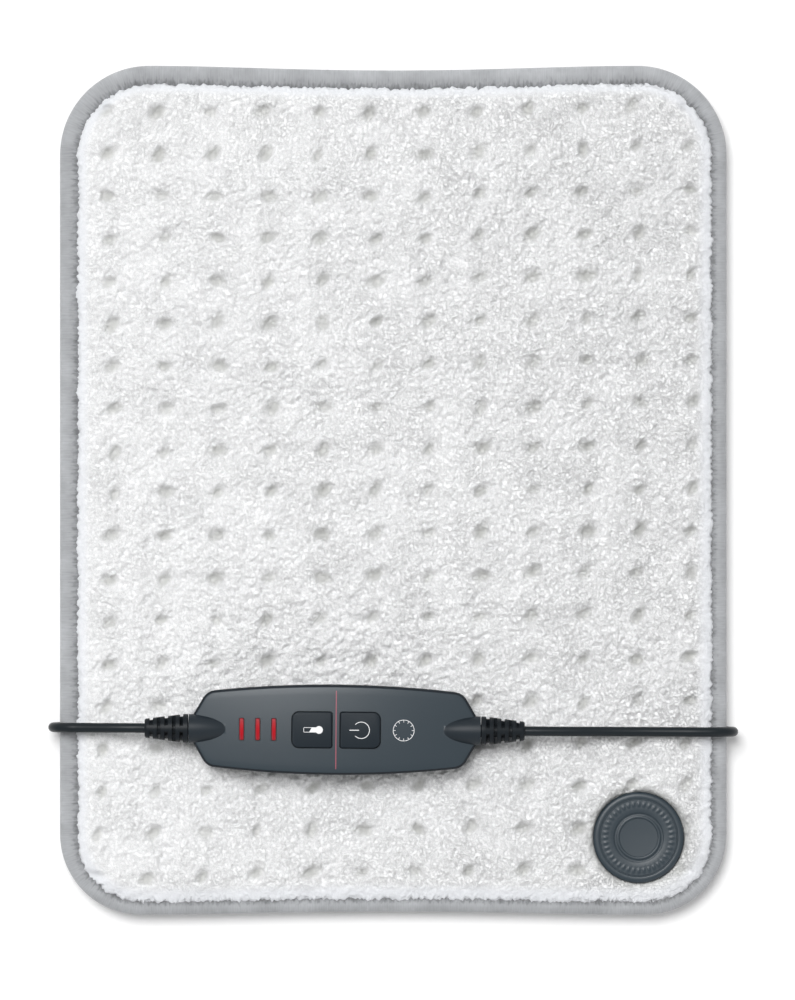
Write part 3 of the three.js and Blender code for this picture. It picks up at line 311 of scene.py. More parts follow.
# Cords: two round black leads leave the ends of the controller, fold over the pad's edges and
# are put away under it. The mains lead is wound into a coil, held by a strap, that ends in the
# plug, and the pad lead runs up and down once and goes into the terminal. Smooth soft sheath.
cord_diameter = 0.0046
coil_centre = (0.010, 0.025)
coil_level = 0.0031
coil_pitch = 0.0052
coil_inner = 0.0143
coil_turns = 9.0
coil_reverse = 4.75
climb_turns = 0.5
strap_near = (0.0112, 0.0001)
strap_far = (0.0421, 0.0114)
strap_corner = 0.0012
strap_clear = 0.00025
strap_half_width = 0.003
strap_half_thickness = 0.00022
strap_turn = np.pi / 4
mains_run = [
    (-0.1120, -0.1117, 0.0286), (-0.1172, -0.11166, 0.0286), (-0.123, -0.1116, 0.0285),
    (-0.131, -0.1116, 0.027), (-0.140, -0.1116, 0.0245), (-0.148, -0.1116, 0.0223),
    (-0.1532, -0.1116, 0.021), (-0.1575, -0.1116, 0.0185), (-0.1599, -0.1116, 0.0143),
    (-0.1599, -0.1116, 0.0095), (-0.1575, -0.1116, 0.0053), (-0.1532, -0.1116, 0.0028),
    (-0.148, -0.1116, 0.0025), (-0.138, -0.1116, 0.0025), (-0.122, -0.1114, 0.0025),
    (-0.098, -0.108, 0.0025), (-0.074, -0.097, 0.0025), (-0.054, -0.079, 0.0025),
    (-0.040, -0.056, 0.0025), (-0.032, -0.031, 0.0026), (-0.0294, -0.008, 0.0029),
    (-0.029, 0.008, 0.0031), (-0.029, 0.0246, 0.0031),
]
mains_tail = [
    (-0.0264, 0.0254, 0.0083), (-0.0264, 0.033, 0.0083), (-0.0264, 0.045, 0.0078),
    (-0.0264, 0.056, 0.0071), (-0.0264, 0.0637, 0.00695), (-0.0264, 0.068, 0.00695),
]
pad_run = [
    (0.0572, -0.1131, 0.0286), (0.0621, -0.11313, 0.0286), (0.070, -0.1132, 0.0284),
    (0.084, -0.1133, 0.027), (0.100, -0.1134, 0.0244), (0.116, -0.1135, 0.0227),
    (0.132, -0.1136, 0.0222), (0.145, -0.1137, 0.0221), (0.1532, -0.1137, 0.021),
    (0.1575, -0.1137, 0.0185), (0.1599, -0.1137, 0.0143), (0.1599, -0.1137, 0.0095),
    (0.1575, -0.1137, 0.0053), (0.1532, -0.1137, 0.0028), (0.148, -0.1137, 0.0025),
    (0.136, -0.1126, 0.0025), (0.120, -0.106, 0.0025), (0.108, -0.092, 0.0025),
    (0.102, -0.070, 0.0025), (0.100, -0.040, 0.0025), (0.100, 0.030, 0.0025),
    (0.100, 0.096, 0.0025), (0.098, 0.110, 0.0025), (0.0925, 0.1185, 0.0025),
    (0.085, 0.1215, 0.0025), (0.0775, 0.1185, 0.0025), (0.072, 0.110, 0.0025),
    (0.070, 0.096, 0.0025), (0.070, 0.030, 0.0025), (0.070, -0.040, 0.0025),
    (0.070, -0.084, 0.0025), (0.0706, -0.104, 0.0025), (0.0728, -0.118, 0.0025),
    (0.0772, -0.1294, 0.0029), (0.0844, -0.1374, 0.0034), (0.08899, -0.14126, 0.0035),
    (0.0915, -0.1434, 0.0035),
]


def coil_line(steps_per_turn=48):
    """Wound lead: a spiral whose radius shrinks by a pitch each turn and grows again after the
    turn where it reverses, while it climbs from the lower to the upper layer by a smooth step."""
    turns = np.linspace(0, coil_turns, int(coil_turns * steps_per_turn) + 1)
    away = np.abs(turns - coil_reverse)
    rounded = np.maximum(away, (away**2 + climb_turns**2 / 4) / climb_turns)
    radius = coil_inner + coil_pitch * np.where(away < climb_turns / 2, rounded, away)
    way = np.clip((turns - coil_reverse) / climb_turns + 0.5, 0, 1)
    angle = np.pi - 2 * np.pi * turns
    level = coil_level + coil_pitch * way**2 * (3 - 2 * way)
    return np.stack([coil_centre[0] + radius * np.cos(angle),
                     coil_centre[1] + radius * np.sin(angle), level], axis=1)


def put_cord(name, line, diameter, resolution=5):
    """Round cord along a line: one open spline with a round section and closed ends."""
    curve = bpy.data.curves.new(name, "CURVE")
    curve.dimensions = "3D"
    curve.bevel_depth = diameter / 2
    curve.bevel_resolution = resolution
    curve.use_fill_caps = True
    spline = curve.splines.new("POLY")
    spline.points.add(len(line) - 1)
    spline.points.foreach_set("co", np.hstack([line, np.ones((len(line), 1))]).ravel())
    piece = bpy.data.objects.new(name, curve)
    scene.collection.objects.link(piece)
    return piece


def coil_strap(around=64):
    """Strap of rubber tape round the coil's bundle: a thin rounded rectangle carried round a
    rounded square path in the upright plane through the coil's middle."""
    angle = round_angles(around)
    out = np.stack([np.cos(angle), np.sin(angle)], axis=1)
    near, far = np.array(strap_near), np.array(strap_far)
    half = (far - near) / 2 - strap_corner - strap_clear
    path = (far + near) / 2 + np.sign(np.round(out, 9)) * half + strap_corner * out
    edge, thick = strap_half_width - 0.0002, strap_half_thickness
    section = np.array([(-strap_half_width, 0), (-edge, thick), (edge, thick), (strap_half_width, 0),
                        (edge, -thick), (-edge, -thick)])
    reach = path[:, None, 0] + out[:, None, 0] * section[None, :, 1]
    z = path[:, None, 1] + out[:, None, 1] * section[None, :, 1]
    side = np.broadcast_to(section[None, :, 0], z.shape)
    x = coil_centre[0] + reach * np.cos(strap_turn) - side * np.sin(strap_turn)
    y = coil_centre[1] + reach * np.sin(strap_turn) + side * np.cos(strap_turn)
    points = np.stack([x, y, z], axis=-1).reshape(-1, 3)
    return points, [grid_faces(around, len(section), wrap=True, wrap_rows=True)]


sheath = moulded_finish("cord_sheath", (0.005, 0.009, 0.012), 0.36, shine=0.2, grain=0.0007,
                        depth=0.00001)
mains_line = np.vstack([smooth_route(mains_run), coil_line(), smooth_route(mains_tail)])
pad_line = smooth_route(pad_run)
mains_cord = dressed(put_cord("mains_lead", mains_line, cord_diameter), sheath)
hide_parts("mains_lead_run", "mains_lead_coil", "mains_lead_tail")
strap = dressed(bare_mesh("coil_strap", *coil_strap()), rubber)
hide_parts("coil_tie")
pad_cord = dressed(put_cord("pad_lead_cord", pad_line, cord_diameter), sheath)
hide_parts("pad_lead")

# Back cover: white pile fabric under the heater, sewn into the binding all round. It lies flat
# on the table, arches over the coil and the plug, and the cords press grooves into its pile.
pad_half_x = 0.157
pad_half_y = 0.200
corner_top = 0.042
corner_bottom = 0.038
draw_in_top = 0.0022
draw_in_bottom = 0.0015
straight_half = 0.115
coil_lift = 0.0049
coil_dome_x = (0.050, 0.077)
coil_dome_y = (0.055, 0.065)
plug_lift = 0.0073
plug_dome_x = (0.030, 0.080)
plug_dome_y = (0.040, 0.038)
plug_dome_middle = 0.1018
terminal_place = (0.1155, -0.1635)
relief_foot = (0.0995, -0.1501, 0.0035)
raster_pitch = 0.0004
raster_columns = 787
raster_rows = 1003
back_thickness = 0.008
back_flange = 0.0077
back_inset = 0.0074
sewn_inset = 0.0019
roll_width = 0.0075
least_pile = 0.0008
pile_tips = 0.0014
tip_share = 0.6
cloud_field = (0.42, 0.34)
pile_reach = (0.156, 0.199)
yarn_curl = (0.0007, 0.0024)
yarn_length = (0.0014, 0.0036)
yarn_radius = (0.00045, 0.00080)
yarn_level = (0, 0.0008)
lying_below = 0.0082
cord_clear = 0.0009
relief_clear = 0.0015
seats = [(coil_centre, (0, 0), 0.0433, 0.0117), ((plug_x, 0.1006), (0.0070, 0.0286), 0.0120, 0.0142),
         (terminal_place, (0, 0), 0.0212, 0.0068)]
seat_slope = 1.2


def bell(offset, flat, fall):
    """1 up to flat from the middle, then half a cosine wave down to 0 over fall."""
    way = np.clip((np.abs(offset) - flat) / fall, 0, 1)
    return 0.5 + 0.5 * np.cos(np.pi * way)


def hill(x, y):
    """How far the pad is lifted: the larger of a dome over the coil and one over the plug, with
    the crease between them rounded by adding their sixth powers."""
    over_coil = coil_lift * bell(x - coil_centre[0], *coil_dome_x) * bell(y - coil_centre[1], *coil_dome_y)
    over_plug = plug_lift * bell(x - plug_x, *plug_dome_x) * bell(y - plug_dome_middle, *plug_dome_y)
    return (over_coil**6 + over_plug**6) ** (1 / 6)


def drawn_in(x, y):
    """The short sides are drawn in: y shrinks by a share that is largest at their middle."""
    bow = np.clip(1 - (x / straight_half) ** 2, 0, None) ** 2
    return y * (1 - np.where(y > 0, draw_in_top, draw_in_bottom) * bow / pad_half_y)


def pad_field(inset, columns, sides, arcs):
    """Grid over the pad's face inside an inset edge: level rows, each as wide as the edge is
    there. Rows follow each other evenly along the sides and by equal angles round the corners."""
    turn = np.linspace(0, np.pi / 2, arcs + 1)
    low, high = corner_bottom - inset, corner_top - inset
    foot = inset - pad_half_y + low * (1 - np.cos(turn))
    head = (pad_half_y - inset - high * (1 - np.cos(turn)))[::-1]
    y = np.concatenate([foot, np.linspace(foot[-1], head[0], sides + 1)[1:-1], head])
    half = pad_half_x - inset + np.concatenate([low * (np.sin(turn) - 1), np.zeros(sides - 1),
                                                high * (np.sin(turn[::-1]) - 1)])
    x = np.linspace(-1, 1, columns + 1) * half[:, None]
    return x, np.broadcast_to(y[:, None], x.shape).copy()


def edge_inset(x, y):
    """Distance inside the pad's outer edge, a rectangle with round corners."""
    radius = np.where(y > 0, corner_top, corner_bottom)
    across = np.abs(x) - (pad_half_x - radius)
    along = np.abs(y) - (pad_half_y - radius)
    outside = np.hypot(np.clip(across, 0, None), np.clip(along, 0, None))
    return radius - outside - np.minimum(np.maximum(across, along), 0)


def inward(x, y, step=1e-5):
    """Unit direction away from the nearest edge, from small differences of the inset."""
    gx = edge_inset(x + step, y) - edge_inset(x - step, y)
    gy = edge_inset(x, y + step) - edge_inset(x, y - step)
    size = np.hypot(gx, gy) + 1e-12
    return gx / size, gy / size


def edge_rings(x, y, from_inset, levels):
    """Rings that follow the rim of a field at other insets and heights, each point moved along the
    inward direction."""
    gx, gy = inward(x, y)
    return [np.stack([x + gx * (inset - from_inset),
                      drawn_in(x + gx * (inset - from_inset), y + gy * (inset - from_inset)),
                      np.full(len(x), z)], axis=-1) for inset, z in levels]


def rim_of(rows, columns):
    """Indices of a grid's border points, counter-clockwise from its first corner."""
    index = np.arange(rows * columns).reshape(rows, columns)
    return np.concatenate([index[0, :-1], index[:-1, -1], index[-1, :0:-1], index[:0:-1, 0]])


def closed_cover(face, rings, under, stride):
    """Closed body of a fine grid for the face, bands of quads through the rings round its rim, a
    band that goes over to a coarser grid with every stride-th point, and that grid."""
    rim = rim_of(*face.shape[:2])
    points = np.vstack([face.reshape(-1, 3), *rings, under.reshape(-1, 3)])
    first, count = face.shape[0] * face.shape[1], len(rim)
    loops = [rim] + [first + k * count + np.arange(count) for k in range(len(rings))]
    bands = [np.stack([low, np.roll(low, -1), np.roll(high, -1), high], axis=-1)
             for high, low in zip(loops, loops[1:])]
    start = first + len(rings) * count
    inner = start + rim_of(*under.shape[:2])
    outer = loops[-1].reshape(-1, stride)
    over = np.column_stack([inner, np.roll(inner, -1), np.roll(outer[:, 0], -1), outer[:, ::-1]])
    below = grid_faces(*under.shape[:2])[:, ::-1] + start
    return points, [grid_faces(*face.shape[:2]), *bands, over, below]


def stamped(places, reach, rise):
    """Raster over the pad that keeps the highest of many small shapes: round each place the
    raster points within reach get rise(across, along), and each point keeps the largest."""
    raster = np.zeros((raster_rows, raster_columns))
    steps = np.arange(-reach, reach + 1)
    column = np.rint(places[:, 0] / raster_pitch).astype(int) + raster_columns // 2
    row = np.rint(places[:, 1] / raster_pitch).astype(int) + raster_rows // 2
    column, row = np.broadcast_arrays(column[:, None, None] + steps[None, None, :],
                                      row[:, None, None] + steps[None, :, None])
    across = (column - raster_columns // 2) * raster_pitch - places[:, 0, None, None]
    along = (row - raster_rows // 2) * raster_pitch - places[:, 1, None, None]
    height = rise(across, along)
    inside = (column >= 0) & (column < raster_columns) & (row >= 0) & (row < raster_rows)
    np.maximum.at(raster, (row[inside], column[inside]), height[inside])
    return raster


def softened(raster):
    """Raster with each point averaged with its neighbours, a quarter, a half and a quarter."""
    for axis in (0, 1):
        raster = (np.roll(raster, 1, axis) + 2 * raster + np.roll(raster, -1, axis)) / 4
    return raster


def spline_weights(t):
    """Catmull-Rom weights of four neighbours, for a share t of the way between the middle two."""
    return [(2 * t**2 - t - t**3) / 2, (2 - 5 * t**2 + 3 * t**3) / 2,
            (t + 4 * t**2 - 3 * t**3) / 2, (t**3 - t**2) / 2]


def sampled(raster, x, y, pitch=(raster_pitch, raster_pitch)):
    """Value of a centred raster at any point: the sum of 4 by 4 neighbours by spline weights."""
    rows, columns = raster.shape
    column = x / pitch[0] + (columns - 1) / 2
    row = y / pitch[1] + (rows - 1) / 2
    i, j = np.floor(column).astype(int), np.floor(row).astype(int)
    weight_x, weight_y = spline_weights(column - i), spline_weights(row - j)
    total = np.zeros(x.shape)
    for dj in range(4):
        for di in range(4):
            near = raster[np.clip(j + dj - 1, 0, rows - 1), np.clip(i + di - 1, 0, columns - 1)]
            total += weight_y[dj] * weight_x[di] * near
    return total


def cloudy(x, y, pitch, seed):
    """Soft noise from 0 to 1: a seeded raster of random values, read by spline weights."""
    values = np.random.default_rng(seed).random([int(length / pitch) + 5 for length in cloud_field])
    return np.clip(sampled(values, x, y, (pitch, pitch)), 0, 1)


def looped_pile(count, seed):
    """Height of looped pile: thousands of short curled yarns, each an arc with a round back that
    lies at its own level and heading, and the highest yarn shows."""
    rng = np.random.default_rng(seed)
    places = rng.uniform(-np.array(pile_reach), pile_reach, (count, 2))
    heading, curl = rng.uniform(0, 2 * np.pi, count), rng.uniform(*yarn_curl, count)
    length, yarn = rng.uniform(*yarn_length, count), rng.uniform(*yarn_radius, count)
    level = rng.uniform(*yarn_level, count)
    heading, curl, length, yarn, level = (v[:, None, None] for v in (heading, curl, length, yarn, level))

    def rise(across, along):
        s = across * np.cos(heading) + along * np.sin(heading)
        t = along * np.cos(heading) - across * np.sin(heading) + curl
        turn = np.clip(np.arctan2(s, t), -length / curl / 2, length / curl / 2)
        away = np.hypot(s - curl * np.sin(turn), t - curl * np.cos(turn))
        dome = np.sqrt(np.clip(1 - (away / yarn) ** 2, 0, None))
        return np.where(away < yarn, level + yarn * dome, 0)

    return softened(stamped(places, reach=7, rise=rise))


def cord_grooves():
    """Room that the cords press into the pile from below: round each lying stretch of the leads, and
    of the relief where one enters the terminal, a rounded roof just clear of it."""
    leads = np.vstack([smooth_route(run, steps=40) for run in (mains_run, mains_tail, pad_run)])
    leads = leads[leads[:, 2] < lying_below]
    lying = np.vstack([leads, np.linspace(pad_run[-2], relief_foot, 60)])
    spare = np.where(np.arange(len(lying)) < len(leads), cord_clear, relief_clear)
    clear = cord_diameter / 2 + spare[:, None, None]
    level = lying[:, 2, None, None]

    def rise(across, along):
        away = np.hypot(across, along)
        return np.where(away < clear, level + np.sqrt(np.clip(clear**2 - away**2, 0, None)), 0)

    return softened(stamped(lying, reach=10, rise=rise))


def product(tree, first, *others):
    """Several sockets multiplied together."""
    for other in others:
        first = calc(tree, "MULTIPLY", first, other)
    return first


def mixed(tree, share, first, second):
    """Colour that is a share of the way from the first to the second."""
    return add_node(tree, "ShaderNodeMix", {0: share, 6: first, 7: second}, data_type="RGBA").outputs[2]


def ramp(tree, value, *stops):
    """Colour by a value: it goes evenly from one stop, a place and a colour, to the other."""
    made = add_node(tree, "ShaderNodeValToRGB", {"Fac": value})
    for element, (place, colour) in zip(made.color_ramp.elements, stops):
        element.position = place
        element.color = colour
    return made.outputs[0]


def fleece_finish(name):
    """White looped pile: curls from folded noise for colour and bump, with fine fibres in them and a
    soft sheen; the colour is painted darker in the gaps between the curls as painted shade. The mesh
    says where painted shade greys the pile, in the hollows at the sewn spots and round the terminal,
    and where it is rolled over, so that the pile is drawn smooth and painted a shaded bluish grey.
    It is rougher towards the right."""
    made, tree, shader, place = bare_finish(name)
    curl = noise(tree, place, scale=720.0, detail=1.5, distortion=0.8)
    crease = calc(tree, "ABSOLUTE", calc(tree, "SUBTRACT", curl, 0.5))
    loop = remap(tree, crease, low=0.0, high=1.0, end=0.09)
    height = calc(tree, "MULTIPLY_ADD", noise(tree, place, scale=2600.0), 0.3, loop)
    # Painted shade: the pile's colour is darker where its height is low, in the gaps between the curls, and
    # paler on their tops.
    tone = ramp(tree, height, (0.1, (0.76, 0.77, 0.775, 1)), (0.9, (0.95, 0.955, 0.96, 1)))
    painted_hollow_shade = add_node(tree, "ShaderNodeAttribute", attribute_name="painted_hollow_shade").outputs["Fac"]
    rolled_and_shaded = add_node(tree, "ShaderNodeAttribute", attribute_name="rolled_and_shaded").outputs["Fac"]
    across = add_node(tree, "ShaderNodeSeparateXYZ", {0: place}).outputs["X"]
    # Painted shade: the pile is mixed towards grey in the hollows at the sewn spots and round the terminal.
    hollow_shaded = mixed(tree, painted_hollow_shade, tone, (0.565, 0.57, 0.55, 1))
    brushed = remap(tree, noise(tree, place, scale=55.0), low=0.78, high=1.04, start=0.35, end=0.65)
    flatter = remap(tree, rolled_and_shaded, low=1.0, high=0.3)
    rougher = remap(tree, across, low=0.88, high=1.25, start=-0.15, end=0.15)
    pull = product(tree, brushed, flatter, rougher)
    # Painted shade: where the edge is rolled over, the pile is mixed to a duller bluish grey.
    fill(tree, shader, {"Base Color": mixed(tree, rolled_and_shaded, hollow_shaded, (0.79, 0.81, 0.85, 1)),
                        "Normal": bumped(tree, height, distance=0.0003, strength=pull),
                        "Roughness": 0.95, "Specular IOR Level": 0.1,
                        "Sheen Weight": 0.12, "Sheen Roughness": 0.6})
    return made


def quarter(share):
    """Quarter of a circle: from 0 to 1 as the share does, steep at first and level at the end."""
    return np.sqrt(1 - (1 - share) ** 2)


def outside_box(x, y, middle, half):
    """Distance outside a box about a middle, or from the middle itself if the box has no size."""
    across, along = np.abs(x - middle[0]) - half[0], np.abs(y - middle[1]) - half[1]
    return np.hypot(np.clip(across, 0, None), np.clip(along, 0, None))


def on_pad(x, y, z):
    """Points of the pad from a grid and its heights, with the short sides drawn in."""
    return np.stack([x, drawn_in(x, y), z], axis=-1)


def back_cover(stride=2):
    """Under side from the pile's tips, the grooves and the seats of coil, plug and terminal, rolled
    up to the binding at the edge; upper side flat; both lifted by the hill."""
    x, y = pad_field(back_inset, columns=230, sides=236, arcs=30)
    rise = hill(x, y)
    share = np.clip((edge_inset(x, y) - back_inset) / roll_width, 0, 1)
    between_tips = tip_share * np.clip(pile_tips - sampled(pile, x, y), 0, None)
    low = np.maximum(rise + between_tips + back_flange * (1 - quarter(share)), sampled(cord_grooves(), x, y))
    for middle, half, radius, roof in seats:
        away = outside_box(x, y, middle, half) - radius
        low = np.maximum(low, roof - seat_slope * np.clip(away, 0, None))
    low = np.minimum(low, back_thickness + rise - least_pile)
    rim = rim_of(*x.shape)
    rings = edge_rings(x.ravel()[rim], y.ravel()[rim], back_inset,
                       [(sewn_inset, back_flange), (sewn_inset, back_thickness)])
    ux, uy = x[::stride, ::stride], y[::stride, ::stride]
    return closed_cover(on_pad(x, y, low), rings, on_pad(ux, uy, back_thickness + hill(ux, uy)), stride)


pile = looped_pile(count=52000, seed=7)
fleece = fleece_finish("white_fleece")
back = dressed(bare_mesh("back_cover", *back_cover(), sharp=180), fleece)
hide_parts("pad_back_cover")

# Heater: a thin needled felt carries the heating wire, which is laid to and fro in long runs and
# tacked down. Both lie between the covers, and the felt's edge is sewn into the binding.
carrier_low = 0.0083
carrier_high = 0.0091


def fibre_finish(name, colour, scale, depth):
    """Matted fibres: noise drawn into short streaks for colour and bump, with no gloss."""
    made, tree, shader, place = bare_finish(name)
    streak = noise(tree, place, scale, detail=5.0, distortion=1.5)
    fill(tree, shader, {"Base Color": tinted(tree, colour, remap(tree, streak, low=0.75, high=1.15)),
                        "Normal": bumped(tree, streak, depth),
                        "Roughness": 0.9, "Specular IOR Level": 0.15})
    return made


def carrier_sheet():
    """Flat sheet of even thickness inside an inset edge, lifted by the hill."""
    x, y = pad_field(sewn_inset, columns=60, sides=60, arcs=10)
    rise = hill(x, y)
    return closed_cover(on_pad(x, y, carrier_high + rise), [], on_pad(x, y, carrier_low + rise), 1)


def given_finish(finish, *names):
    """A finish put on CAD pieces whose shape is right as it is."""
    for name in names:
        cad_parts[name].data.materials.clear()
        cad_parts[name].data.materials.append(finish)


felt = fibre_finish("needled_felt", (0.73, 0.70, 0.63), 900.0, 0.0002)
carrier = dressed(bare_mesh("carrier_sheet", *carrier_sheet()), felt)
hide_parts("heater_carrier_sheet")
given_finish(moulded_finish("wire_jacket", (0.70, 0.45, 0.20), 0.45, grain=0.0006), "heating_wire")

# Top cover: white looped-pile fleece over the heater, held down by a grid of sewn spots, so that it
# swells a little between them. Its edge is rolled into the binding, and the terminal and the
# controller press it flat.
top_inset = 0.0077
top_rim = 0.0120
top_bottom = 0.0119
top_tuck = [(top_inset, 0.0117), (sewn_inset, 0.0117), (sewn_inset, 0.0105), (0.0090, 0.0105)]
crown_level = 0.0152
pile_gain = 1.4
patch_pitch = 0.014
patch_range = (0.76, 0.33)
tuck_start = 0.011
tuck_width = 0.006
under_inset = 0.0095
# How strongly the rolled edge is drawn smooth and painted a shaded bluish grey.
rolled_and_shaded_share = 0.75
rolled_and_shaded_bell = (0.0095, 0.0055)
swell_height = 0.0013
swell_points = (49, 77)
swell_cell = (0.00625, 0.005)
swell_blank = 0.003
swell_frames = 20
spot_pitch = (0.025, 0.020)
spot_first = (-0.1375, -0.180)
spot_count = (12, 19)
spot_depth = 0.0030
spot_floor = 0.0123
spot_stray = 0.0005
spot_width = (0.0026, 0.0037)
spot_share = (0.72, 1.0)
spot_slant = (0.5, 0.45)
spot_stretch = (1.25, 0.8)
pile_in_spot = 0.45
rag_waves = [(0.0009, 21, 0.0018), (0.0035, 22, 0.0011)]
collar_level = 0.0122
collar_radius = 0.0213
collar_width = 0.0045
controller_place = (-0.0275, -0.1124)
controller_bed = (0.0672, 0.0222)
controller_bed_level = 0.0176


def uneven_edge(out_x, out_y):
    """How much further in than usual the binding reaches, for an edge that faces outwards along a
    direction: most at the top, less at the left and least at the right and the bottom."""
    return 0.0002 * out_x**2 - 0.0008 * out_x + 0.0014 * out_y - 0.0004


def spot_wander(x, y):
    """How far the sewing strays from an even grid: sideways along a parabola up the pad, which is
    stronger at the left, and a little uphill to the right."""
    share = x / -spot_first[0]
    aside = (0.0046 - 0.0064 * ((y - 0.030) / 0.210) ** 2) * (1 - 0.25 * share)
    return aside, 0.0017 * share - 0.0004


def blown_swell():
    """Swell of the sewn cover from 0 to 1, by cloth simulation: a flat closed blank, pinned below,
    round its border and at the sewn spots, is blown up by a little pressure."""
    columns, rows = swell_points
    x, y = np.meshgrid((np.arange(columns) - columns // 2) * swell_cell[0],
                       (np.arange(rows) - rows // 2) * swell_cell[1])
    top = np.stack([x, y, np.full(x.shape, swell_blank)], axis=-1)
    blank = bare_mesh("blank", *closed_cover(top, [], top * (1, 1, 0), 1))
    sewn = np.zeros((rows, columns), dtype=bool)
    sewn[2::4, 2::4] = True
    held = np.concatenate([np.flatnonzero(sewn), rim_of(rows, columns),
                           np.arange(rows * columns, 2 * rows * columns)])
    blank.vertex_groups.new(name="sewn").add(held.tolist(), 1.0, "REPLACE")
    cloth = blank.modifiers.new("cloth", "CLOTH")
    cloth.settings.quality = 6
    cloth.settings.mass = 0.02
    cloth.settings.tension_stiffness = 8
    cloth.settings.bending_stiffness = 0.05
    cloth.settings.use_pressure = True
    cloth.settings.uniform_pressure_force = 4
    cloth.settings.vertex_group_mass = "sewn"
    cloth.settings.effector_weights.gravity = 0
    cloth.collision_settings.use_collision = False
    cloth.point_cache.frame_start, cloth.point_cache.frame_end = 1, swell_frames
    for number in range(1, swell_frames + 1):
        scene.frame_set(number)
    shaped = blank.evaluated_get(bpy.context.evaluated_depsgraph_get()).to_mesh()
    place = np.empty(2 * rows * columns * 3, dtype=np.float32)
    shaped.vertices.foreach_get("co", place)
    scene.frame_set(1)
    bpy.data.objects.remove(blank)
    swell = place.reshape(-1, 3)[: rows * columns, 2].reshape(rows, columns).astype(float) - swell_blank
    return np.clip(swell / np.percentile(swell, 98), 0, 1.1)


def spot_hollows(x, y, seed=5):
    """Hollow of the nearest sewn spot, from 0 to 1: a steep bell of its distance, drawn out along the
    slant of the stitches, with each spot a little off its place and of its own size and depth."""
    rng = np.random.default_rng(seed)
    shape = (spot_count[1], spot_count[0])
    off_x, off_y = rng.normal(0, spot_stray, shape), rng.normal(0, spot_stray, shape)
    wide, deep = rng.uniform(*spot_width, shape), rng.uniform(*spot_share, shape)
    slant = rng.normal(*spot_slant, shape)
    i = np.clip(np.rint((x - spot_first[0]) / spot_pitch[0]).astype(int), 0, spot_count[0] - 1)
    j = np.clip(np.rint((y - spot_first[1]) / spot_pitch[1]).astype(int), 0, spot_count[1] - 1)
    dx = x - spot_first[0] - i * spot_pitch[0] - off_x[j, i]
    dy = y - spot_first[1] - j * spot_pitch[1] - off_y[j, i]
    c, s = np.cos(slant[j, i]), np.sin(slant[j, i])
    away = np.hypot((dx * c + dy * s) / spot_stretch[0], (dy * c - dx * s) / spot_stretch[1]) / wide[j, i]
    return deep[j, i] * np.exp(-(away * (0.8 + 0.4 * cloudy(x, y, 0.0016, seed))) ** 3)


def top_cover(stride=5):
    """Upper side: a roll from the binding up to the crown, the swell between the spots, the hollows
    at the spots and the pile; under side flat. Both are lifted by the hill."""
    x, y = pad_field(top_inset, columns=460, sides=500, arcs=50)
    inset = edge_inset(x, y)
    gx, gy = inward(x, y)
    share = np.clip((inset - top_inset) / roll_width, 0, 1)
    ragged = sum((cloudy(x, y, pitch, seed) - 0.5) * size for pitch, seed, size in rag_waves)
    ragged = (ragged + uneven_edge(-gx, -gy)) * (1 - share) ** 2
    px, py = x + gx * ragged, y + gy * ragged
    aside, along = spot_wander(px, py)
    sx, sy = px - aside, py - along
    hollow = spot_hollows(sx, sy)
    patch = (patch_range[0] + patch_range[1] * cloudy(px, py, patch_pitch, 23)) * (1 + px)
    tucked = 0.3 + 0.7 * np.clip((inset - tuck_start) / tuck_width, 0, 1)
    loops = sampled(pile, px, py) * patch * (1 - (1 - pile_in_spot) * hollow) * tucked
    full = crown_level + swell_height * sampled(swell_field, sx, sy, swell_cell) + pile_gain * loops
    crown = np.maximum(full - spot_depth * hollow, spot_floor + 0.3 * loops)
    z = top_rim + (crown - top_rim) * quarter(share)
    collar = np.clip((outside_box(px, py, terminal_place, (0, 0)) - collar_radius) / collar_width, 0, 1)
    z = np.where(collar < 1, collar_level + (z - collar_level) * quarter(collar), z)
    under_case = outside_box(px, py, controller_place, controller_bed) == 0
    z = np.where(under_case, np.minimum(z, controller_bed_level), z) + hill(px, py)
    rim = rim_of(*x.shape)
    rings = edge_rings(x.ravel()[rim], y.ravel()[rim], top_inset, top_tuck)
    ux, uy = pad_field(under_inset, columns=92, sides=100, arcs=10)
    under = on_pad(ux, uy, top_bottom + hill(ux, uy))
    points, faces = closed_cover(on_pad(px, py, z), rings, under, stride)
    painted_hollow_shade, rolled_and_shaded = np.zeros((2, len(points)))
    # Painted shade: how far the pile is painted grey, in the hollows at the sewn spots and in a ring round
    # the terminal.
    painted_hollow_shade[: hollow.size] = np.maximum(np.clip(1.1 * hollow - 0.15, 0, 1), 0.8 * (1 - collar)).ravel()
    # The rolled edge: drawn smooth, and painted a shaded bluish grey as painted shade.
    rolled_and_shaded[: share.size] = rolled_and_shaded_share * bell(inset, *rolled_and_shaded_bell).ravel()
    return points, faces, {"painted_hollow_shade": painted_hollow_shade, "rolled_and_shaded": rolled_and_shaded}


swell_field = blown_swell()
points, faces, marks = top_cover()
top = dressed(bare_mesh("top_cover", points, faces, sharp=180), fleece)
for name, values in marks.items():
    mark = top.data.attributes.new(name, "FLOAT", "POINT")
    mark.data.foreach_set("value", values.astype(np.float32))
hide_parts("pad_top_cover")

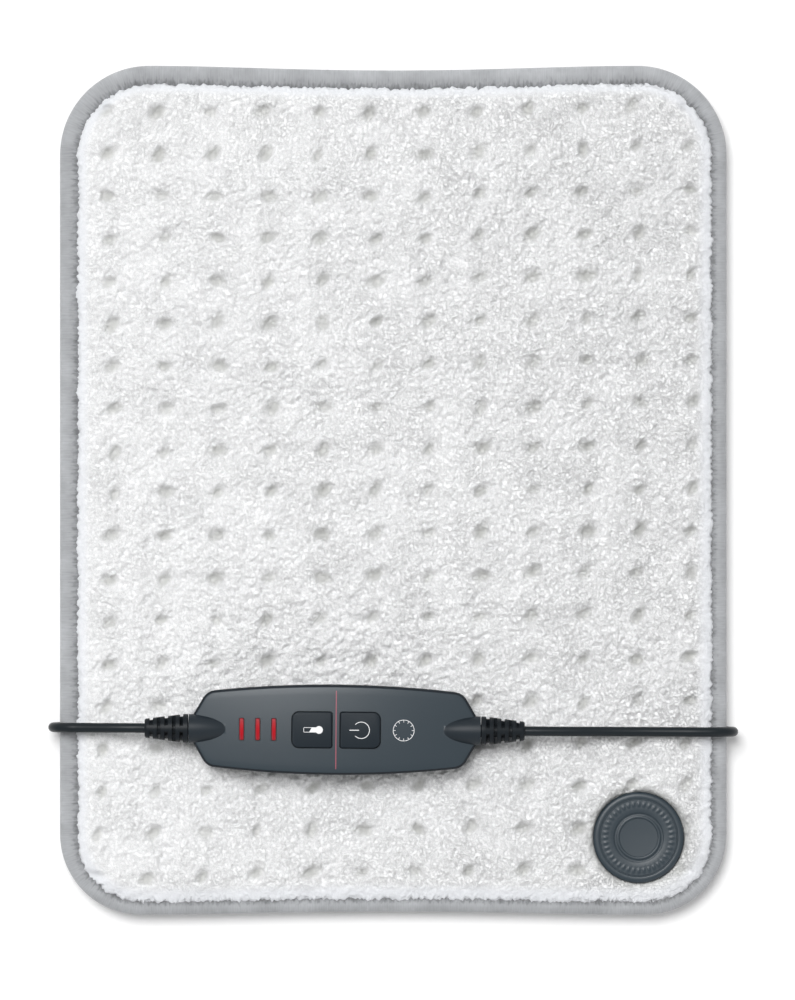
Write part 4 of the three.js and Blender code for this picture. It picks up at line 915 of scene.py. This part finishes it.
# Edge binding: a grey woven tape folded round the edges of both covers and sewn through. It is
# smooth on the outside with fine ribs across it, and puckers a little round the corners.
tape_section = [(0.0088, 0.01240), (0.0056, 0.01300), (0.0040, 0.01318), (0.0026, 0.01295),
                (0.0014, 0.01225), (0.0005, 0.0112), (0.0, 0.0097), (0.0005, 0.0082), (0.0014, 0.00715),
                (0.0026, 0.00645), (0.0040, 0.00622), (0.0056, 0.0062), (0.0070, 0.0062),
                (0.0070, 0.0073), (0.0017, 0.0075), (0.0017, 0.0119), (0.0088, 0.0121)]
tape_outermost = 6
tape_rib = 0.0011
shift_start = 0.002
shift_width = 0.005
ripple_pitch = 0.0045
ripple_side = 0.0003
ripple_corner = 0.0005
ripple_reach = 0.004
corner_signs = np.array([(1, 1), (-1, 1), (-1, -1), (1, -1)])


def edge_line(step):
    """Round the pad's edge: for each point a centre, an outward direction and a radius, so that the
    point at any inset is centre plus direction times radius less inset."""
    radii = np.array([corner_top, corner_top, corner_bottom, corner_bottom])
    centres = corner_signs * (np.array([pad_half_x, pad_half_y]) - radii[:, None])
    parts = []
    for k in range(4):
        count = int(radii[k] * np.pi / 2 / step)
        turn = (k + np.arange(count) / count) * np.pi / 2
        place = np.broadcast_to(centres[k], (count, 2))
        parts.append(np.column_stack([place, turn, np.full(count, radii[k])]))
        ahead, wider = centres[(k + 1) % 4] - centres[k], radii[(k + 1) % 4] - radii[k]
        count = int(np.linalg.norm(ahead) / step)
        way = (np.arange(count) / count)[:, None]
        turn = np.full(count, (k + 1) * np.pi / 2)
        parts.append(np.column_stack([centres[k] + ahead * way, turn, radii[k] + wider * way]))
    line = np.vstack(parts)
    return line[:, :2], np.stack([np.cos(line[:, 2]), np.sin(line[:, 2])], axis=1), line[:, 3]


def stretched(tree, place, factors):
    """A place with each of its measures multiplied, which draws out a noise read there."""
    return add_node(tree, "ShaderNodeVectorMath", {0: place, 1: factors}, operation="MULTIPLY").outputs[0]


def tape_finish(name, colour):
    """Woven tape: fine ribs across it, broken by threads of noise drawn out across it, for bump and a
    light colour change, and wide soft patches. It is painted paler towards the outer edge as painted
    light, and towards its inner edge more and more threads are painted dark as painted shade, where
    the pile lies over it."""
    made, tree, shader, place = bare_finish(name)
    unfolded = add_node(tree, "ShaderNodeTexCoord").outputs["UV"]
    way = add_node(tree, "ShaderNodeSeparateXYZ", {0: unfolded}).outputs
    rib = calc(tree, "SINE", calc(tree, "MULTIPLY", way["X"], 2 * np.pi / tape_rib))
    thread = noise(tree, stretched(tree, unfolded, (1.0, 0.15, 0.0)), scale=1100.0, detail=3.0)
    height = calc(tree, "MULTIPLY_ADD", rib, 0.05, thread)
    tone = remap(tree, height, low=0.90, high=1.10, start=0.25, end=0.75)
    cloud = remap(tree, noise(tree, place, scale=80.0, detail=3.0), low=0.88, high=1.12, start=0.3, end=0.7)
    speck = noise(tree, stretched(tree, unfolded, (1.0, 0.4, 0.0)), scale=700.0, detail=3.0)
    # Painted shade: towards the inner edge, under the pile's edge, more and more threads are darkened.
    near = remap(tree, way["Y"], low=0.72, high=0.25, start=0.0012, end=0.0062)
    shade = remap(tree, calc(tree, "SUBTRACT", near, speck), low=1.0, high=0.5, end=0.35)
    # Painted light: the tape's colour rises towards its outer edge.
    outer = remap(tree, way["Y"], low=0.83, high=1.14, start=0.0015, end=0.0095)
    fill(tree, shader, {"Base Color": tinted(tree, colour, product(tree, tone, outer, shade, cloud)),
                        "Normal": bumped(tree, height, distance=0.00015, strength=0.8),
                        "Roughness": 0.62, "Specular IOR Level": 0.3, "Sheen Weight": 0.1})
    return made


def lengths_along(points):
    """Distance from the first of several points to each one, along the line through them."""
    return np.concatenate([[0], np.cumsum(np.linalg.norm(np.diff(points, axis=0), axis=1))])


def folded_tape(step=0.0014):
    """The section carried round the edge, with puckers: waves across the corners and slow ripples
    along the sides lift and lower the inner half of the tape."""
    centre, out, radius = edge_line(step)
    section = np.array(tape_section)
    inset, level = section[None, :, 0], section[None, :, 1]
    upper = (np.arange(len(section)) < tape_outermost)[None, :]
    shifted = upper * np.clip((inset - shift_start) / shift_width, 0, 1)
    inset = inset + shifted * uneven_edge(out[:, :1], out[:, 1:])
    x = centre[:, None, 0] + out[:, None, 0] * (radius[:, None] - inset)
    y = centre[:, None, 1] + out[:, None, 1] * (radius[:, None] - inset)
    ripple = cloudy(x, y, ripple_pitch, 31) - 0.5
    bent = np.abs(out[:, 0] * out[:, 1])[:, None] * 2
    reach = np.clip(inset / ripple_reach, 0.2, 1)
    z = level + upper * ripple * (ripple_side + ripple_corner * bent) * reach
    edge = np.stack([x[:, tape_outermost], y[:, tape_outermost]], axis=-1)
    length, width = (lengths_along(np.vstack([line, line[:1]])) for line in (edge, section))
    uv = np.stack(np.meshgrid(length, width, indexing="ij"), axis=-1)
    corners = np.stack([uv[:-1, :-1], uv[:-1, 1:], uv[1:, 1:], uv[1:, :-1]], axis=2).reshape(-1, 4, 2)
    points = on_pad(x, y, z).reshape(-1, 3)
    return points, [grid_faces(*x.shape, wrap=True, wrap_rows=True)], [corners]


tape = tape_finish("grey_tape", (0.375, 0.385, 0.40))
binding = dressed(bare_mesh("binding", *folded_tape(), sharp=50), tape)
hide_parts("edge_binding")

# Terminal: a round button near the corner where the lead joins the heater. Its moulded cap clamps
# the covers onto a base from above; a rounded rim, a ring of short ribs and two fine grooves are
# moulded in its face, and the joints and a fuse sit in its hub.
cap_top = 0.0163
cap_ribs = 40
cap_rib_middle = 0.0156
cap_rib_half = 0.0008
cap_rib_height = 0.0002
cap_profile = [(0.0001, -0.0005), (0.0085, -0.0005), (0.00895, -0.00048), (0.0092, -0.0001), (0.0094, 0.0),
               (0.0100, 0.0), (0.0103, -0.0001), (0.0105, -0.00045), (0.0108, -0.0005), (0.0112, -0.0005),
               (0.0115, -0.00045), (0.0117, -0.0001), (0.0120, 0.0), (0.0140, 0.0), (0.0144, 0.0),
               (0.0148, 0.0), (0.0152, 0.0), (0.0156, 0.0), (0.0160, 0.0), (0.0164, 0.0), (0.0168, 0.0),
               (0.0178, 0.0), (0.0180, -0.00025), (0.0183, -0.00025), (0.0185, 0.0), (0.0188, 0.0001),
               (0.0196, 0.0001), (0.0204, 0.0), (0.0209, -0.0003), (0.0212, -0.0007), (0.0214, -0.0013),
               (0.0215, -0.0021), (0.0215, -0.0036), (0.0140, -0.0036), (0.0140, -0.0096),
               (0.0001, -0.0096)]


def terminal_cap(around=320):
    """Profile turned about the button's axis. The ribs stand out of the flat ring as a clipped
    cosine round it, faded in and out across it."""
    radius, level = np.array(cap_profile).T[:, :, None]
    turn = round_angles(around)
    fade = np.clip(1.6 - np.abs(radius - cap_rib_middle) / cap_rib_half, 0, 1)
    rib = np.clip(2.5 * np.cos(cap_ribs * turn) + 0.4, 0, 1) * fade
    return ring_body(terminal_place[0] + radius * np.cos(turn), terminal_place[1] + radius * np.sin(turn),
                     cap_top + level + cap_rib_height * rib)


case_plastic = moulded_finish("grey_plastic", (0.0205, 0.0325, 0.0425), 0.36, shine=0.34, grain=0.00035,
                              depth=0.000012, spread=0.05)
ceramic = moulded_finish("pale_moulding", (0.68, 0.64, 0.55), 0.4)
brass = metal_finish("bright_brass", (0.58, 0.39, 0.11), 0.3)
cap = dressed(bare_mesh("terminal_button", *terminal_cap(), sharp=40), case_plastic)
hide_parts("terminal_cap")
given_finish(case_plastic, "terminal_base")
given_finish(rubber, "terminal_strain_relief")
given_finish(ceramic, "thermal_fuse")
given_finish(brass, "splice_crimp_live", "splice_crimp_return")

# Controller, lower part: a shallow tray of grey plastic, painted darker and duller like the cover's
# sides as painted shade, closed by four screws from below. It holds a coated circuit board with the
# switches, the lamps and the power parts, and the cord's cores.
# Painted shade: a darker, duller copy of the case plastic for the cover's sides and the tray.
shaded_side_plastic = moulded_finish("painted_shade_side", (0.014, 0.018, 0.023), 0.55, shine=0.12, grain=0.00035,
                              depth=0.000012)
board_coat = moulded_finish("green_board", (0.03, 0.15, 0.06), 0.35, grain=0.0008)
black_moulding = moulded_finish("black_moulding", (0.012, 0.012, 0.014), 0.5)
yellow_box = moulded_finish("yellow_box", (0.66, 0.46, 0.05), 0.4)
blue_coat = moulded_finish("blue_coat", (0.025, 0.11, 0.34), 0.35)
brown_insulation = moulded_finish("brown_insulation", (0.14, 0.05, 0.02), 0.45)
blue_insulation = moulded_finish("blue_insulation", (0.02, 0.10, 0.38), 0.45)
given_finish(shaded_side_plastic, "controller_bottom_shell")
given_finish(steel, "case_screw_1", "case_screw_2", "case_screw_3", "case_screw_4", "plug_pin_left",
             "plug_pin_right")
given_finish(board_coat, "circuit_board")
given_finish(black_moulding, "temperature_switch_body", "power_switch_body", "microcontroller", "triac",
             "supply_capacitor")
given_finish(yellow_box, "film_capacitor")
given_finish(blue_coat, "varistor")
given_finish(brown_insulation, "mains_core_live", "heater_core_live")
given_finish(blue_insulation, "mains_core_neutral", "heater_core_return")
given_finish(ceramic, "temperature_switch_plunger", "power_switch_plunger", "level_lamp_1", "level_lamp_2",
             "level_lamp_3", "dropper_resistor", "mains_fuse")

# Controller, upper part: an arched cover of satin grey plastic with sloped ends, where two bullet
# shaped bosses hold the strain reliefs; its sides are painted darker and duller and its bosses
# darker, as painted shade. Its face has openings for the keys and windows.
controller_turn = np.radians(-0.47)
controller_level = 0.0178
case_half = 0.0662
case_face = 0.0190
case_arch = 0.0065
case_crown = 0.0006
crown_reach = 0.018
case_wall = 0.002
case_end = 0.007
case_corner = (0.060, 0.0177)
case_shoulder = (0.056, 0.01805)
case_bow = 0.02415
corner_run = 0.004
edge_round = (0.0014, 0.002)
parting = 0.0088
key_middle = {"temperature": -0.0106, "power": 0.0120}
key_half = (0.0093, 0.0083)
key_corners = {"temperature": (0.0032, 0.0010), "power": (0.0010, 0.0032)}
key_gap = 0.0004
window_middle = (-0.0436, -0.03605, -0.0285)
window_half = (0.0011, 0.0051)
window_gap = 0.0002
cord_bore = 0.0033
bore_ends = np.array([0.055, 0.075])
above_face = 0.024
room_floor = 0.004
room_round = 0.001
gland_level = 0.0108
gland_radius = 0.0068
gland_end = 0.0685
gland_length = 0.0225


def on_controller(points):
    """Points from the controller's own axes to the pad's: turned a little, then moved into place."""
    c, s = np.cos(controller_turn), np.sin(controller_turn)
    x, y, z = points[..., 0], points[..., 1], points[..., 2]
    return np.stack([controller_place[0] + c * x - s * y, controller_place[1] + s * x + c * y,
                     controller_level + z], axis=-1)


def face_height(x, y=0.0):
    """The case's face: highest in the middle, falling by the square of the distance from it, much
    along the case and a little across it."""
    return case_face - case_arch * (x / case_half) ** 2 - case_crown * (y / crown_reach) ** 2


def case_side():
    """One long side from the left end to the right one, at y above 0: a short end, a slope, a
    rounded corner and a shallow bow, each a straight line or a parabola."""
    t = np.linspace(0, 1, 13)[:, None]
    end, corner, shoulder = (np.array([p]) for p in ((case_half, case_end), case_corner, case_shoulder))
    low = corner + (end - corner) * (corner_run / np.linalg.norm(end - corner))
    slope = end + (low - end) * np.linspace(0, 1, 9)[:-1, None]
    round_corner = (1 - t) ** 2 * low + 2 * t * (1 - t) * corner + t**2 * shoulder
    t = np.linspace(0, 0.5, 36)[1:, None]
    bow = (1 - t) ** 2 * shoulder + 2 * t * (1 - t) * (0, case_bow) + t**2 * shoulder * (-1, 1)
    half = np.vstack([slope, round_corner, bow])
    return np.vstack([half * (-1, 1), half[-2::-1]])


def case_body(levels, rows=12):
    """Closed body over the case's outline: rings at given insets and heights, some measured from the
    face, then a face of straight lines between the two long sides, and a flat bottom."""
    side = case_side()
    share = np.linspace(-1, 1, rows + 1)[:, None]
    x = np.broadcast_to(side[None, :, 0], (rows + 1, len(side)))
    y = share * side[None, :, 1]
    rim = rim_of(*x.shape)
    edge = np.stack([x.ravel()[rim], y.ravel()[rim]], axis=-1)
    step = np.roll(edge, -1, axis=0) - edge
    step /= np.linalg.norm(step, axis=1)[:, None]
    bend = step + np.roll(step, 1, axis=0)
    out = np.stack([bend[:, 1], -bend[:, 0]], axis=-1)
    out /= np.linalg.norm(out, axis=1)[:, None]
    rings = []
    for inset, z, from_face in levels:
        at = edge - out * inset
        level = face_height(*at.T) + z if from_face else np.full(len(at), z)
        rings.append(np.column_stack([at, level]))
    count, last = len(rim), rings[-1]
    low, high = last[: len(side)], last[len(side) + rows - 1: 2 * len(side) + rows - 1][::-1]
    inner = low[None] + (high - low)[None] * (share[1:-1, :, None] * 0.5 + 0.5)
    inner = inner[:, 1:-1]
    inner[..., 2] = face_height(inner[..., 0], inner[..., 1]) + levels[-1][1]
    points = np.vstack([*rings, inner.reshape(-1, 3)])
    index = np.zeros((rows + 1, len(side)), dtype=int)
    index.ravel()[rim] = (len(rings) - 1) * count + np.arange(count)
    numbers = np.arange(inner.shape[0] * inner.shape[1]).reshape(inner.shape[:2])
    index[1:-1, 1:-1] = len(rings) * count + numbers
    face = quads_of(index)
    return points, [grid_faces(len(rings), count, wrap=True), face, np.arange(count)[None, ::-1]]


def turned_rod(stations, radii, around=48):
    """Body of rings about a level axis along the controller, at the height of its glands."""
    angle = round_angles(around)
    x, radius = np.array(stations)[:, None], np.array(radii)[:, None]
    return ring_body(x, radius * np.cos(angle), gland_level + radius * np.sin(angle))


def rounded_slab(middle, half, radii, levels, arc=8):
    """Upright body over a rounded rectangle whose left and right corners have their own radii, with
    rings at given insets and heights. The corners keep their centres as the outline shrinks."""
    least = 0.0001
    radius = np.where(corner_signs[:, 0] > 0, radii[1], radii[0])
    angle = (np.arange(4)[:, None] + np.linspace(0, 1, arc + 1)) * np.pi / 2
    centre = corner_signs * (np.array(half) - radius[:, None])
    rings = []
    for inset, z in levels:
        size = np.maximum(radius - inset, least)[:, None]
        spare = np.minimum(radius - inset - least, 0)[:, None] * corner_signs
        x = middle + (centre + spare)[:, :1] + size * np.cos(angle)
        y = (centre + spare)[:, 1:] + size * np.sin(angle)
        rings.append(np.stack([x.ravel(), y.ravel(), np.full(x.size, z)], axis=-1))
    return loft(np.array(rings))


def case_tool(points, faces):
    """A body in the controller's own axes, put into place."""
    return bare_mesh("tool", on_controller(points), faces)


def reshaped(piece, tool, how):
    """The piece united with a tool body or cut by it, after which the tool is gone."""
    change = piece.modifiers.new("shape", "BOOLEAN")
    change.operation, change.object, change.solver = how, tool, "EXACT"
    shape = bpy.data.meshes.new_from_object(piece.evaluated_get(bpy.context.evaluated_depsgraph_get()))
    piece.modifiers.clear()
    piece.data = shape
    bpy.data.objects.remove(tool)


def cut(shape):
    """A body in the controller's own axes taken away from the cover."""
    reshaped(cover, case_tool(*shape), "DIFFERENCE")


edge_turn = np.linspace(0, np.pi / 2, 7)
round_edge = [(edge_round[0] * (1 - np.cos(a)), edge_round[1] * np.sin(a) - edge_round[1], True)
              for a in edge_turn]
cover = case_tool(*case_body([(0, parting, False), *round_edge]))
boss_turn = np.linspace(0.06, np.pi / 2, 16)
for end in (-1, 1):
    boss = turned_rod(end * (gland_end - gland_length * np.cos(boss_turn)), gland_radius * np.sin(boss_turn))
    reshaped(cover, case_tool(*boss), "UNION")
cut(rounded_slab(0, (0.1, 0.1), (0.001, 0.001), [(0, -0.02), (0, parting)]))
cut(case_body([(case_wall, room_floor, False), (case_wall, -case_wall - room_round, True),
               (case_wall + room_round, -case_wall, True)]))
for end in (-1, 1):
    cut(turned_rod(end * bore_ends, [cord_bore, cord_bore], around=24))
for name, x in key_middle.items():
    corners = np.add(key_corners[name], key_gap)
    cut(rounded_slab(x, np.add(key_half, key_gap), corners, [(0, 0.014), (0, above_face)]))
for x in window_middle:
    cut(rounded_slab(x, np.add(window_half, window_gap), (0.0006, 0.0006), [(0, 0.012), (0, above_face)]))
cover.name = "controller_cover"
cover.data.shade_smooth()
cover.data.set_sharp_from_angle(angle=np.radians(35))
dressed(cover, case_plastic)
# Painted shade: a darker copy of the case plastic for the bullet shaped bosses.
shaded_boss_plastic = moulded_finish("shaded_boss_plastic", (0.013, 0.019, 0.025), 0.42, shine=0.2, grain=0.00035,
                              depth=0.000012)
cover.data.materials.append(shaded_side_plastic)
cover.data.materials.append(shaded_boss_plastic)
normals, middles = np.empty((2, len(cover.data.polygons), 3), dtype=np.float32)
cover.data.polygons.foreach_get("normal", normals.ravel())
cover.data.polygons.foreach_get("center", middles.ravel())
across, along, up = (middles - (*controller_place, controller_level)).T
own_x = np.cos(controller_turn) * across + np.sin(controller_turn) * along
own_y = np.cos(controller_turn) * along - np.sin(controller_turn) * across
proud = (up > face_height(own_x, own_y) + 0.00005) | (np.abs(own_x) > case_half + 0.0001)
near_boss = (np.abs(own_x) > gland_end - gland_length - 0.001) & (np.abs(own_y) < gland_radius + 0.0002)
# Painted shade: faces tilted away from the face get the dark side plastic, and the bosses the darker boss
# plastic.
kind = np.where(near_boss & proud, 2, np.where(normals[:, 2] < 0.9, 1, 0))
cover.data.polygons.foreach_set("material_index", kind.astype(np.int32))
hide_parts("controller_top_shell")

# Strain reliefs: soft black sleeves moulded onto the leads, tapered and slotted by turns from above
# and from the sides so that they bend evenly. A neck and a collar hold them in the case.
relief_start = 0.0688
relief_length = 0.0204
relief_tip = 0.0046
relief_neck = [(0.0582, 0.0042), (0.0601, 0.0042), (0.0601, 0.0030), (relief_start, 0.0030)]
relief_profile = [(0, gland_radius - 0.0002), (0.0002, gland_radius), (0.0014, gland_radius),
                  (relief_length - 0.0012, relief_tip), (relief_length - 0.0006, relief_tip - 0.0001),
                  (relief_length - 0.0002, relief_tip - 0.0004), (relief_length, relief_tip - 0.0008)]
slot_count = 5
slot_first = 0.00235
slot_pitch = 0.00355
slot_width = 0.0015
slot_brink = 0.00008
slot_web = 0.0032
slot_floor = 0.0030
slot_side = 0.4
slot_side_depth = 0.0009


def strain_relief(end, around=120):
    """Rings about the lead: a cone whose radius drops to the floor in the slots, except in the webs,
    which stand above and below in every other slot and at the sides in the rest. Slots with webs above
    and below are shallow at the sides."""
    brinks = np.array([-slot_brink, slot_brink, slot_width - slot_brink, slot_width + slot_brink])
    edges = slot_first + slot_pitch * np.arange(slot_count)[:, None] + brinks
    stations, radii = np.array(relief_profile).T
    s = np.sort(np.concatenate([edges.ravel(), stations]))
    cone = np.interp(s, stations, radii)
    number = np.clip(np.floor((s - slot_first) / slot_pitch + 0.05), 0, slot_count - 1)
    into = s - slot_first - number * slot_pitch
    in_slot = (into > 0) & (into < slot_width)
    angle = round_angles(around)
    upright, cone = (number % 2 == 0)[:, None], cone[:, None]
    web = np.abs(np.where(upright, np.cos(angle), np.sin(angle))) * cone < slot_web / 2
    shallow = upright & (np.abs(np.sin(angle)) < slot_side)
    radius = np.where(in_slot[:, None] & ~web, np.where(shallow, cone - slot_side_depth, slot_floor), cone)
    neck_x, neck_radius = np.array(relief_neck).T[:, :, None]
    radius = np.vstack([np.broadcast_to(neck_radius, (len(relief_neck), around)), radius])
    x = np.vstack([neck_x, relief_start + s[:, None]])
    return ring_body(end * x, radius * np.cos(angle), gland_level + radius * np.sin(angle))


for end, name in ((1, "pad_lead"), (-1, "mains_lead")):
    points, faces = strain_relief(end)
    sleeve = dressed(bare_mesh(name + "_sleeve", on_controller(points), faces), rubber)
    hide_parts(name + "_strain_relief")

# Keys: two flat dark grey plastic keys that move in the cover's openings, with rounded edges and a
# flange below that keeps them in. A thermometer and a power sign are printed on them in white.
key_top = 0.0201
key_low = 0.0149
key_flange = 0.0014
key_flange_top = 0.0159
print_thickness = 0.00006


def ribbon(path, width, level, closed=False):
    """Flat printed line: a low rectangle carried along a plane path, across its direction."""
    p = np.array(path, dtype=float)
    step = np.roll(p, -1, axis=0) - np.roll(p, 1, axis=0) if closed else np.gradient(p, axis=0)
    step /= np.linalg.norm(step, axis=1)[:, None]
    side = np.stack([-step[:, 1], step[:, 0]], axis=-1) * width / 2
    low, high = np.full((len(p), 1), level), np.full((len(p), 1), level + print_thickness)
    corners = ((p - side, low), (p + side, low), (p + side, high), (p - side, high))
    rings = np.stack([np.hstack(corner) for corner in corners], axis=1)
    if closed:
        return rings.reshape(-1, 3), [grid_faces(len(p), 4, wrap=True, wrap_rows=True)]
    return loft(rings)


def printed_area(outline, level):
    """Flat printed area inside a closed plane outline, counter-clockwise."""
    p = np.array(outline, dtype=float)
    levels = (level, level + print_thickness)
    return loft(np.stack([np.column_stack([p, np.full(len(p), z)]) for z in levels]))


def joined(parts):
    """Several bodies as one list of points and faces."""
    starts = np.cumsum([0] + [len(points) for points, _ in parts])
    faces = [f + start for (_, own), start in zip(parts, starts) for f in own]
    return np.vstack([points for points, _ in parts]), faces


def arc(middle, radius, first, last, count=40):
    """Points on a circle from one angle to another, in degrees."""
    turn = np.radians(np.linspace(first, last, count))
    return np.stack([middle[0] + radius * np.cos(turn), middle[1] + radius * np.sin(turn)], axis=-1)


def put_on_controller(name, shape, finish, body="pad", sharp=35):
    """A piece given in the controller's own axes, dressed and on the body it moves with."""
    points, faces = shape
    return dressed(bare_mesh(name, on_controller(points), faces, sharp=sharp), finish, body)


key_plastic = moulded_finish("dark_plastic", (0.012, 0.018, 0.024), 0.42, shine=0.12, grain=0.0003,
                             depth=0.00001, spread=0.05)
white_print = moulded_finish("white_print", (0.86, 0.87, 0.88), 0.5, grain=0.0002, depth=0.000004,
                             spread=0.03)
key_rings = [(-key_flange, key_low), (-key_flange, key_flange_top), (0, key_flange_top),
             (0, key_top - 0.0005), (0.00007, key_top - 0.00022), (0.00022, key_top - 0.00007),
             (0.0005, key_top)]
for name, x in key_middle.items():
    shape = rounded_slab(x, key_half, key_corners[name], key_rings)
    key = put_on_controller(name + "_button", shape, key_plastic, name + "_key_body", sharp=30)
    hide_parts(name + "_key")
print_level = key_top + 0.00001
bulb = (-0.0073, 0.0)
bulb_radius = 0.0018
tube_left, tube_right, tube_half, tube_round = -0.01445, bulb[0] - 0.0012, 0.00108, 0.0004
outline_width = 0.00022
tube = np.vstack([[(tube_right, tube_half)],
                  arc((tube_left + tube_round, tube_half - tube_round), tube_round, 90, 180, 6),
                  arc((tube_left + tube_round, -tube_half + tube_round), tube_round, 180, 270, 6),
                  [(tube_right, -tube_half)]])
filled = [(-0.0107, tube_half), (-0.0119, -tube_half), (tube_right, -tube_half), (tube_right, tube_half)]
thermometer = joined([ribbon(tube, outline_width, print_level),
                      printed_area(arc(bulb, bulb_radius, 0, 351, 40), print_level),
                      printed_area(filled, print_level + 0.00001)])
put_on_controller("thermometer_sign", thermometer, white_print, "temperature_key_body")
power_ring = arc((0.01252, 0), 0.00385, -137, 137, 60)
power_stroke = [(0.0070, 0), (0.0085, 0), (0.0100, 0), (0.01145, 0)]
power_sign = joined([ribbon(power_ring, 0.00030, print_level), ribbon(power_stroke, 0.00038, print_level)])
put_on_controller("power_sign", power_sign, white_print, "power_key_body")

# Windows and marks: three red light bars of clear plastic pressed into the cover over the lamps, a
# thin red line printed across the face between the keys, and a printed timer ring with ticks.
timer_middle = np.array([0.0324, 0.0])
timer_radius = 0.0049
ring_width = 0.00026
tick_width = 0.00024
line_width = 0.00045
line_x = 0.0007
line_half = 0.0184
window_low = 0.0129
window_proud = 0.0002
tick_reach = np.array([[0.0038], [0.0043], [0.0048]])
glow_length = 0.012


def window_finish(name):
    """Clear red plastic with the glow of the lamp under it painted in: deep red along each bar's middle
    and duller towards its sides and ends, by a cosine of the place across the bars less a square along them."""
    made = moulded_finish(name, (0.4, 0.004, 0.012), 0.3, shine=0.08, grain=0.0006, depth=0.000004)
    tree = made.node_tree
    place = add_node(tree, "ShaderNodeTexCoord").outputs["Object"]
    way = add_node(tree, "ShaderNodeSeparateXYZ", {0: place}).outputs
    middle = on_controller(np.array([window_middle[1], 0, 0]))
    turns = 2 * np.pi / (window_middle[1] - window_middle[0])
    across = calc(tree, "COSINE", calc(tree, "MULTIPLY_ADD", way["X"], turns, -turns * middle[0]))
    along = calc(tree, "MULTIPLY_ADD", way["Y"], 1 / glow_length, -middle[1] / glow_length)
    lit = calc(tree, "SUBTRACT", across, calc(tree, "POWER", along, 2.0))
    tone = ramp(tree, lit, (0.5, (0.15, 0.06, 0.07, 1)), (0.95, (0.42, 0.006, 0.014, 1)))
    fill(tree, tree.nodes["Principled BSDF"], {"Base Color": tone})
    return made


def timer_ring():
    """A thin ring with twelve short ticks inside it."""
    spokes = np.radians(np.arange(0, 360, 30))
    heads = np.stack([np.cos(spokes), np.sin(spokes)], axis=-1)
    ticks = [ribbon(timer_middle + tick_reach * head, tick_width, 0.0) for head in heads]
    ring = ribbon(arc(timer_middle, timer_radius, 0, 354, 60), ring_width, 0.0, closed=True)
    return joined([ring, *ticks])


def laid_on_face(shape):
    """A flat print at level 0 laid just on the arched face."""
    points, faces = shape
    x, y, z = points.T
    return np.stack([x, y, z + face_height(x, y) + 0.00002], axis=-1), faces


red_window = window_finish("red_window")
for number, x in enumerate(window_middle):
    high = face_height(x) + window_proud
    bar = rounded_slab(x, window_half, (0.0005, 0.0005),
                       [(0, window_low), (0, high - 0.0003), (0.00012, high - 0.0001), (0.0004, high)])
    window = put_on_controller(f"light_bar_{number + 1}", bar, red_window, sharp=40)
    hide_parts(f"level_window_{number + 1}")
red_print = moulded_finish("red_print", (0.30, 0.07, 0.10), 0.5, grain=0.0002, depth=0.000004, spread=0.1)
line_path = np.column_stack([np.full(24, line_x), np.linspace(-line_half, line_half, 24)])
put_on_controller("red_line", laid_on_face(ribbon(line_path, line_width, 0.0)), red_print)
put_on_controller("timer_ring", laid_on_face(timer_ring()), white_print)
